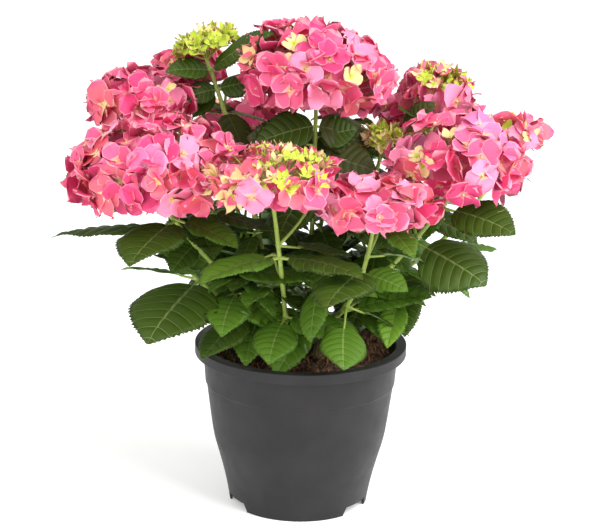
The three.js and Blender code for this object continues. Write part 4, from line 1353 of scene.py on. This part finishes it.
def is_young(limits, tilt, turn):
    """True inside the limits of a young part of a head."""
    (left, right), (near, far), (low, high) = limits
    x, y = np.sin(tilt) * np.cos(turn), np.sin(tilt) * np.sin(turn)
    return (x > left) & (x < right) & (y > near) & (y < far) & (tilt >= low) & (tilt < high)


def stalks_to(name, middles, rng):
    """Fine stalks from a head's hub to each floret: up the stem's way first, then out to it."""
    hub = on_shoot(name, [1.0])[0][0]
    start = np.broadcast_to(hub, middles.shape)
    bend = mix(start, middles, 0.55) + rng.normal(size=middles.shape) * 2 + [0, 0, -3]
    t = np.linspace(0, 1, 5)[:, None]
    paths = arc(start[:, None], bend[:, None], middles[:, None], t)
    radii = np.linspace(1.1, 0.5, len(t)) * np.ones((len(middles), 1))
    return tubes(paths, radii, 4, FLORET_STALK, False)


def head_part(name, shapes, faces, zones, florets, rng):
    """The florets of one head and their stalks, without those inside another head."""
    middle, out, face, size, kinds = florets
    clear = np.ones(len(middle), bool)
    for other in HEADS:
        if other != name:
            clear &= ~inside_head(other, middle)
    middle, out, face, size, kinds = (a[clear] for a in (middle, out, face, size, kinds))
    number = len(middle)
    chosen, spin = rng.integers(0, len(shapes), number), rng.uniform(0, TURN, number)
    points = place_florets(shapes, chosen, middle, face, size, spin)
    shift = pull_in(name, points, out, rng.uniform(1.04, 1.12, number))
    points = points + shift[:, None]
    slots = FLORET_SLOTS[kinds][:, zones]
    blossom = points.reshape(-1, 3), [(repeat(faces, number, points.shape[1]), slots.reshape(-1))]
    return join([blossom, stalks_to(name, middle + shift - face * 0.6, rng)])


def build_mopheads(settings, names, piece_name, seed):
    """The florets and their stalks on some heads, joined into one piece. Where a head is still
    young, smaller and pointed florets take the place of the grown ones."""
    rng = np.random.default_rng(seed)
    shapes, faces, zones = floret_kinds(14, width=0.54, point=0.3, cups=(-0.2, 1.0), rng=rng)
    pointed = floret_kinds(8, width=0.4, point=0.9, cups=(0.1, 1.1), rng=rng)[0]
    fresh = [KINDS.index(kind) for kind in ("coral", "cream", "lime")]
    parts = []
    for name in names:
        *florets, tilt, turn = head_florets(name, settings, rng)
        grown = np.ones(len(tilt), bool)
        for head, *limits, scale, chances in YOUNG:
            if head == name:
                grown &= ~is_young(limits, tilt, turn)
                *small, small_tilt, small_turn = head_florets(name, settings, rng, scale)
                young = is_young(limits, small_tilt, small_turn)
                *small, kinds = (a[young] for a in small)
                kinds = rng.choice(fresh, len(kinds), p=chances)
                parts.append(head_part(name, pointed, faces, zones, (*small, kinds), rng))
        florets = [a[grown] for a in florets]
        parts.append(head_part(name, shapes, faces, zones, florets, rng))
    return add_piece(piece_name, join(parts), floret_finishes(settings))


def slant(name, points):
    """m + (x, y, f z + s x) for places (x, y, z) from a lime head's middle m, which flattens the
    head and slants it."""
    flatten, rise = SLANT[name]
    middle = head_middle(name)
    x, y, z = (points - middle).T
    return middle + np.stack([x, y, flatten * z + rise * x], -1)


def lime_buds(name, rng):
    """Round buds a little way under a lime head's dome, spaced by the golden turn, and their
    middles."""
    number = int(HEADS[name][0] * 2)
    k = np.arange(number) + 0.5
    tilt = np.arccos(1 - k / number * 0.86) + rng.normal(size=number) * 0.05
    point, out = head_point(name, np.clip(tilt, 0.02, 2), k * GOLDEN)
    middle = slant(name, point - out * rng.uniform(2, 9, (number, 1)))
    radius = rng.uniform(1.2, 2.4, number)[:, None, None]
    ball = globe(np.linspace(0.1, np.pi - 0.1, 5)[::-1], 7).reshape(-1, 3)
    slots = np.repeat(rng.choice([CREAM, LIME], number, p=[0.15, 0.85]), 4 * 7)
    faces = repeat(grid(5, 7, True).reshape(-1, 4), number, len(ball))
    return ((middle[:, None] + radius * ball).reshape(-1, 3), [(faces, slots)]), middle


def lime_stalks(name, buds, rng):
    """Branches from the top of the stem to hubs halfway out, and a fine stalk from the nearest hub
    to each bud."""
    hubs = 9
    spots = slant(name, head_point(name, rng.uniform(0.1, 1.3, hubs), GOLDEN * np.arange(hubs))[0])
    root = on_shoot(name, [0.985])[0][0]
    spots = mix(root, spots, 0.5)
    nearest = np.argmin(np.linalg.norm(buds[:, None] - spots, axis=-1), axis=1)
    s = np.linspace(0, 1, 4)[:, None]
    fine = mix(spots[nearest][:, None], buds[:, None], s)
    branches = mix(root, spots[:, None], s)
    return [tubes(fine, np.full(fine.shape[:2], 0.55), 4, FLORET_STALK, False),
            tubes(branches, np.full(branches.shape[:2], 1.0), 5, FLORET_STALK, False)]


def lime_florets(name, shapes, faces, zones, rng):
    """Small florets among the buds of a lime head."""
    number = int(HEADS[name][0] * 2.2)
    tilt, turn = np.arccos(rng.uniform(0.2, 1, number)), rng.uniform(0, TURN, number)
    point, out = head_point(name, tilt, turn)
    size = rng.uniform(9, 14.5, number)
    chosen = rng.integers(0, len(shapes), number)
    face = unit(out + rng.normal(size=out.shape) * 0.4)
    spin = rng.uniform(0, TURN, number)
    points = place_florets(shapes, chosen, slant(name, point - out * 2), face, size, spin)
    kinds = rng.choice([KINDS.index("cream"), KINDS.index("lime")], number, p=LIME_MIX[name])
    slots = FLORET_SLOTS[kinds][:, zones]
    return points.reshape(-1, 3), [(repeat(faces, number, points.shape[1]), slots.reshape(-1))]


def build_lime_heads(settings):
    """Unopened heads: many small round buds on branching stalks, and some small florets."""
    rng = np.random.default_rng(77)
    shapes, faces, zones = floret_kinds(6, width=0.42, point=0.8, cups=(0.0, 0.9), rng=rng)
    parts = []
    for name in LIME_HEADS:
        balls, middles = lime_buds(name, rng)
        parts += [balls, *lime_stalks(name, middles, rng)]
        parts.append(lime_florets(name, shapes, faces, zones, rng))
    return add_piece("lime_heads", join(parts), floret_finishes(settings))


# ---------------------------------------------------------------- stage

FLOOR_GAP = 0.2  # how far the floor lies under the pot, in mm
# Size of each square light and where it stands, in metres.
LIGHTS = {"key": (4.2, (3.6, -2.6, 3.8)), "fill": (3.0, (-2.6, -3.6, 3.2))}
LIT_POINT = (0, 0, 0.3)
CAMERA = {
    "place": (0.0, -2.4685, 0.9964),
    "pitch": 16.19,
    "yaw": -0.057,
    "roll": 1.05,
    "lens": 137.2,
    "sensor": 36.0,
}


def camera_axes():
    """Right, up and back of the camera from its yaw, pitch and roll."""
    yaw, pitch, roll = (np.radians(CAMERA[key]) for key in ("yaw", "pitch", "roll"))
    ahead = np.array([np.sin(yaw) * np.cos(pitch), np.cos(yaw) * np.cos(pitch), -np.sin(pitch)])
    right = unit(np.cross(ahead, [0, 0, 1]))
    up = np.cross(right, ahead)
    turned = right * np.cos(roll) + up * np.sin(roll), up * np.cos(roll) - right * np.sin(roll)
    return (*turned, -ahead)


def stand(piece, axes, place):
    """Puts a light or the camera at a place, with its right, up and back along three axes."""
    basis = np.eye(4)
    basis[:3, :3] = np.stack(axes, -1)
    basis[:3, 3] = place
    piece.matrix_world = Matrix(basis.tolist())


def add_light(name, power):
    """A square soft light that shines from its place at the lit point."""
    size, place = LIGHTS[name]
    lamp = bpy.data.lights.new(f"{name}_light", "AREA")
    lamp.energy = power
    lamp.size = size
    piece = bpy.data.objects.new(f"{name}_light", lamp)
    bpy.context.scene.collection.objects.link(piece)
    back = unit(np.array(place, float) - np.array(LIT_POINT, float))
    right = unit(np.cross([0, 0, 1], back))
    stand(piece, (right, np.cross(back, right), back), place)


def build_stage(settings):
    """A pale round floor, light from all round with one large soft key light, and the camera."""
    reach = np.array([9000.0, 900.0, 1.0])[:, None]
    floor = shell(lathe(reach, -FLOOR_GAP, TURN * np.arange(64) / 64))
    finish = plain_finish("lit_floor", settings.floor, 0.85, Emission_Strength=settings.floor_glow)
    add_piece("floor", floor, [finish])
    world = bpy.data.worlds.new("soft_light")
    world.use_nodes = True
    world.node_tree.nodes["Background"].inputs["Color"].default_value = (1, 1, 1, 1)
    world.node_tree.nodes["Background"].inputs["Strength"].default_value = settings.sky
    scene = bpy.context.scene
    scene.world = world
    scene.view_settings.view_transform = "Standard"
    add_light("key", settings.key)
    add_light("fill", settings.fill)
    lens = bpy.data.cameras.new("camera")
    lens.sensor_width = CAMERA["sensor"]
    lens.lens = CAMERA["lens"]
    camera = bpy.data.objects.new("camera", lens)
    scene.collection.objects.link(camera)
    stand(camera, camera_axes(), CAMERA["place"])
    scene.camera = camera


# ---------------------------------------------------------------- operators and panel


def keep(piece, slot, *nodes):
    """Rides a piece on the plant, and stands it in for its solids. Its slot is not used."""
    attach(piece, "root")
    if nodes:
        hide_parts(*nodes)


class HYDRANGEA_OT_pot(bpy.types.Operator):
    """Build the moulded pot"""

    bl_idname = "hydrangea.pot"
    bl_label = "Pot"

    def execute(self, context):
        keep(build_pot(context.scene.hydrangea_pot), "pot", "pot")
        return {"FINISHED"}


class HYDRANGEA_OT_compost(bpy.types.Operator):
    """Build the compost with its lumps and fibres"""

    bl_idname = "hydrangea.compost"
    bl_label = "Compost"

    def execute(self, context):
        keep(build_compost(context.scene.hydrangea_compost), "soil", "soil")
        return {"FINISHED"}


class HYDRANGEA_OT_stems(bpy.types.Operator):
    """Build the canes and the green shoots"""

    bl_idname = "hydrangea.stems"
    bl_label = "Canes and shoots"

    def execute(self, context):
        settings = context.scene.hydrangea_stems
        keep(build_canes(settings), "bark", *(f"cane_{name}" for name in CANES))
        keep(build_shoots(settings), "green_stem", *(f"shoot_{name}" for name in SHOOTS),
             *(f"stalk_{name}" for name in STALKED))
        return {"FINISHED"}


class HYDRANGEA_OT_leaves(bpy.types.Operator):
    """Build the leaves, their stalks and the twigs"""

    bl_idname = "hydrangea.leaves"
    bl_label = "Leaves and twigs"

    def execute(self, context):
        scene = context.scene
        pieces, stalks = build_leaves(scene.hydrangea_leaves, scene.hydrangea_stems)
        keep(stalks, "green_stem")
        for piece in pieces:
            keep(piece, "foliage")
        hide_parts(*(f"leaves_{name}" for name in SHOOTS))
        return {"FINISHED"}


class HYDRANGEA_OT_mopheads(bpy.types.Operator):
    """Build the pink mopheads"""

    bl_idname = "hydrangea.mopheads"
    bl_label = "Mopheads"

    def execute(self, context):
        settings = context.scene.hydrangea_blooms
        near = [name for name in HEADS if name not in LIME_HEADS + REAR_HEADS]
        groups = (("mopheads_front", near, 41), ("mopheads_rear", REAR_HEADS, 42))
        for piece_name, names, seed in groups:
            piece = build_mopheads(settings, names, piece_name, seed)
            keep(piece, "pink_bloom", *(f"bloom_{name}" for name in names))
        return {"FINISHED"}


class HYDRANGEA_OT_lime_heads(bpy.types.Operator):
    """Build the unopened lime heads"""

    bl_idname = "hydrangea.lime_heads"
    bl_label = "Lime heads"

    def execute(self, context):
        piece = build_lime_heads(context.scene.hydrangea_blooms)
        keep(piece, "lime_bloom", *(f"bloom_{name}" for name in LIME_HEADS))
        return {"FINISHED"}


class HYDRANGEA_OT_stage(bpy.types.Operator):
    """Build the floor, the lights and the camera"""

    bl_idname = "hydrangea.stage"
    bl_label = "Stage"

    def execute(self, context):
        build_stage(context.scene.hydrangea_stage)
        return {"FINISHED"}


SETTINGS = {
    "hydrangea_pot": HydrangeaPotSettings,
    "hydrangea_compost": HydrangeaCompostSettings,
    "hydrangea_stems": HydrangeaStemSettings,
    "hydrangea_leaves": HydrangeaLeafSettings,
    "hydrangea_blooms": HydrangeaBloomSettings,
    "hydrangea_stage": HydrangeaStageSettings,
}
OPERATORS = (
    HYDRANGEA_OT_stage,
    HYDRANGEA_OT_pot,
    HYDRANGEA_OT_compost,
    HYDRANGEA_OT_stems,
    HYDRANGEA_OT_leaves,
    HYDRANGEA_OT_mopheads,
    HYDRANGEA_OT_lime_heads,
)


class HYDRANGEA_PT_panel(bpy.types.Panel):
    """Lists the plant's pieces and what can be changed on them"""

    bl_label = "Potted hydrangea"
    bl_idname = "HYDRANGEA_PT_panel"
    bl_space_type = "VIEW_3D"
    bl_region_type = "UI"
    bl_category = "Hydrangea"

    def draw(self, context):
        for operator in OPERATORS:
            self.layout.operator(operator.bl_idname)
        for name, group in SETTINGS.items():
            box = self.layout.box()
            for prop in group.__annotations__:
                box.prop(getattr(context.scene, name), prop)


def register():
    for group in SETTINGS.values():
        bpy.utils.register_class(group)
    for name, group in SETTINGS.items():
        setattr(bpy.types.Scene, name, bpy.props.PointerProperty(type=group))
    for operator in OPERATORS:
        bpy.utils.register_class(operator)
    bpy.utils.register_class(HYDRANGEA_PT_panel)


def unregister():
    bpy.utils.unregister_class(HYDRANGEA_PT_panel)
    for operator in reversed(OPERATORS):
        bpy.utils.unregister_class(operator)
    for name in SETTINGS:
        delattr(bpy.types.Scene, name)
    for group in reversed(list(SETTINGS.values())):
        bpy.utils.unregister_class(group)


def main():
    register()
    bpy.ops.hydrangea.stage()
    bpy.ops.hydrangea.pot()
    bpy.ops.hydrangea.compost()
    bpy.ops.hydrangea.stems()
    bpy.ops.hydrangea.leaves()
    bpy.ops.hydrangea.mopheads()
    bpy.ops.hydrangea.lime_heads()


if __name__ == "__main__":
    main()
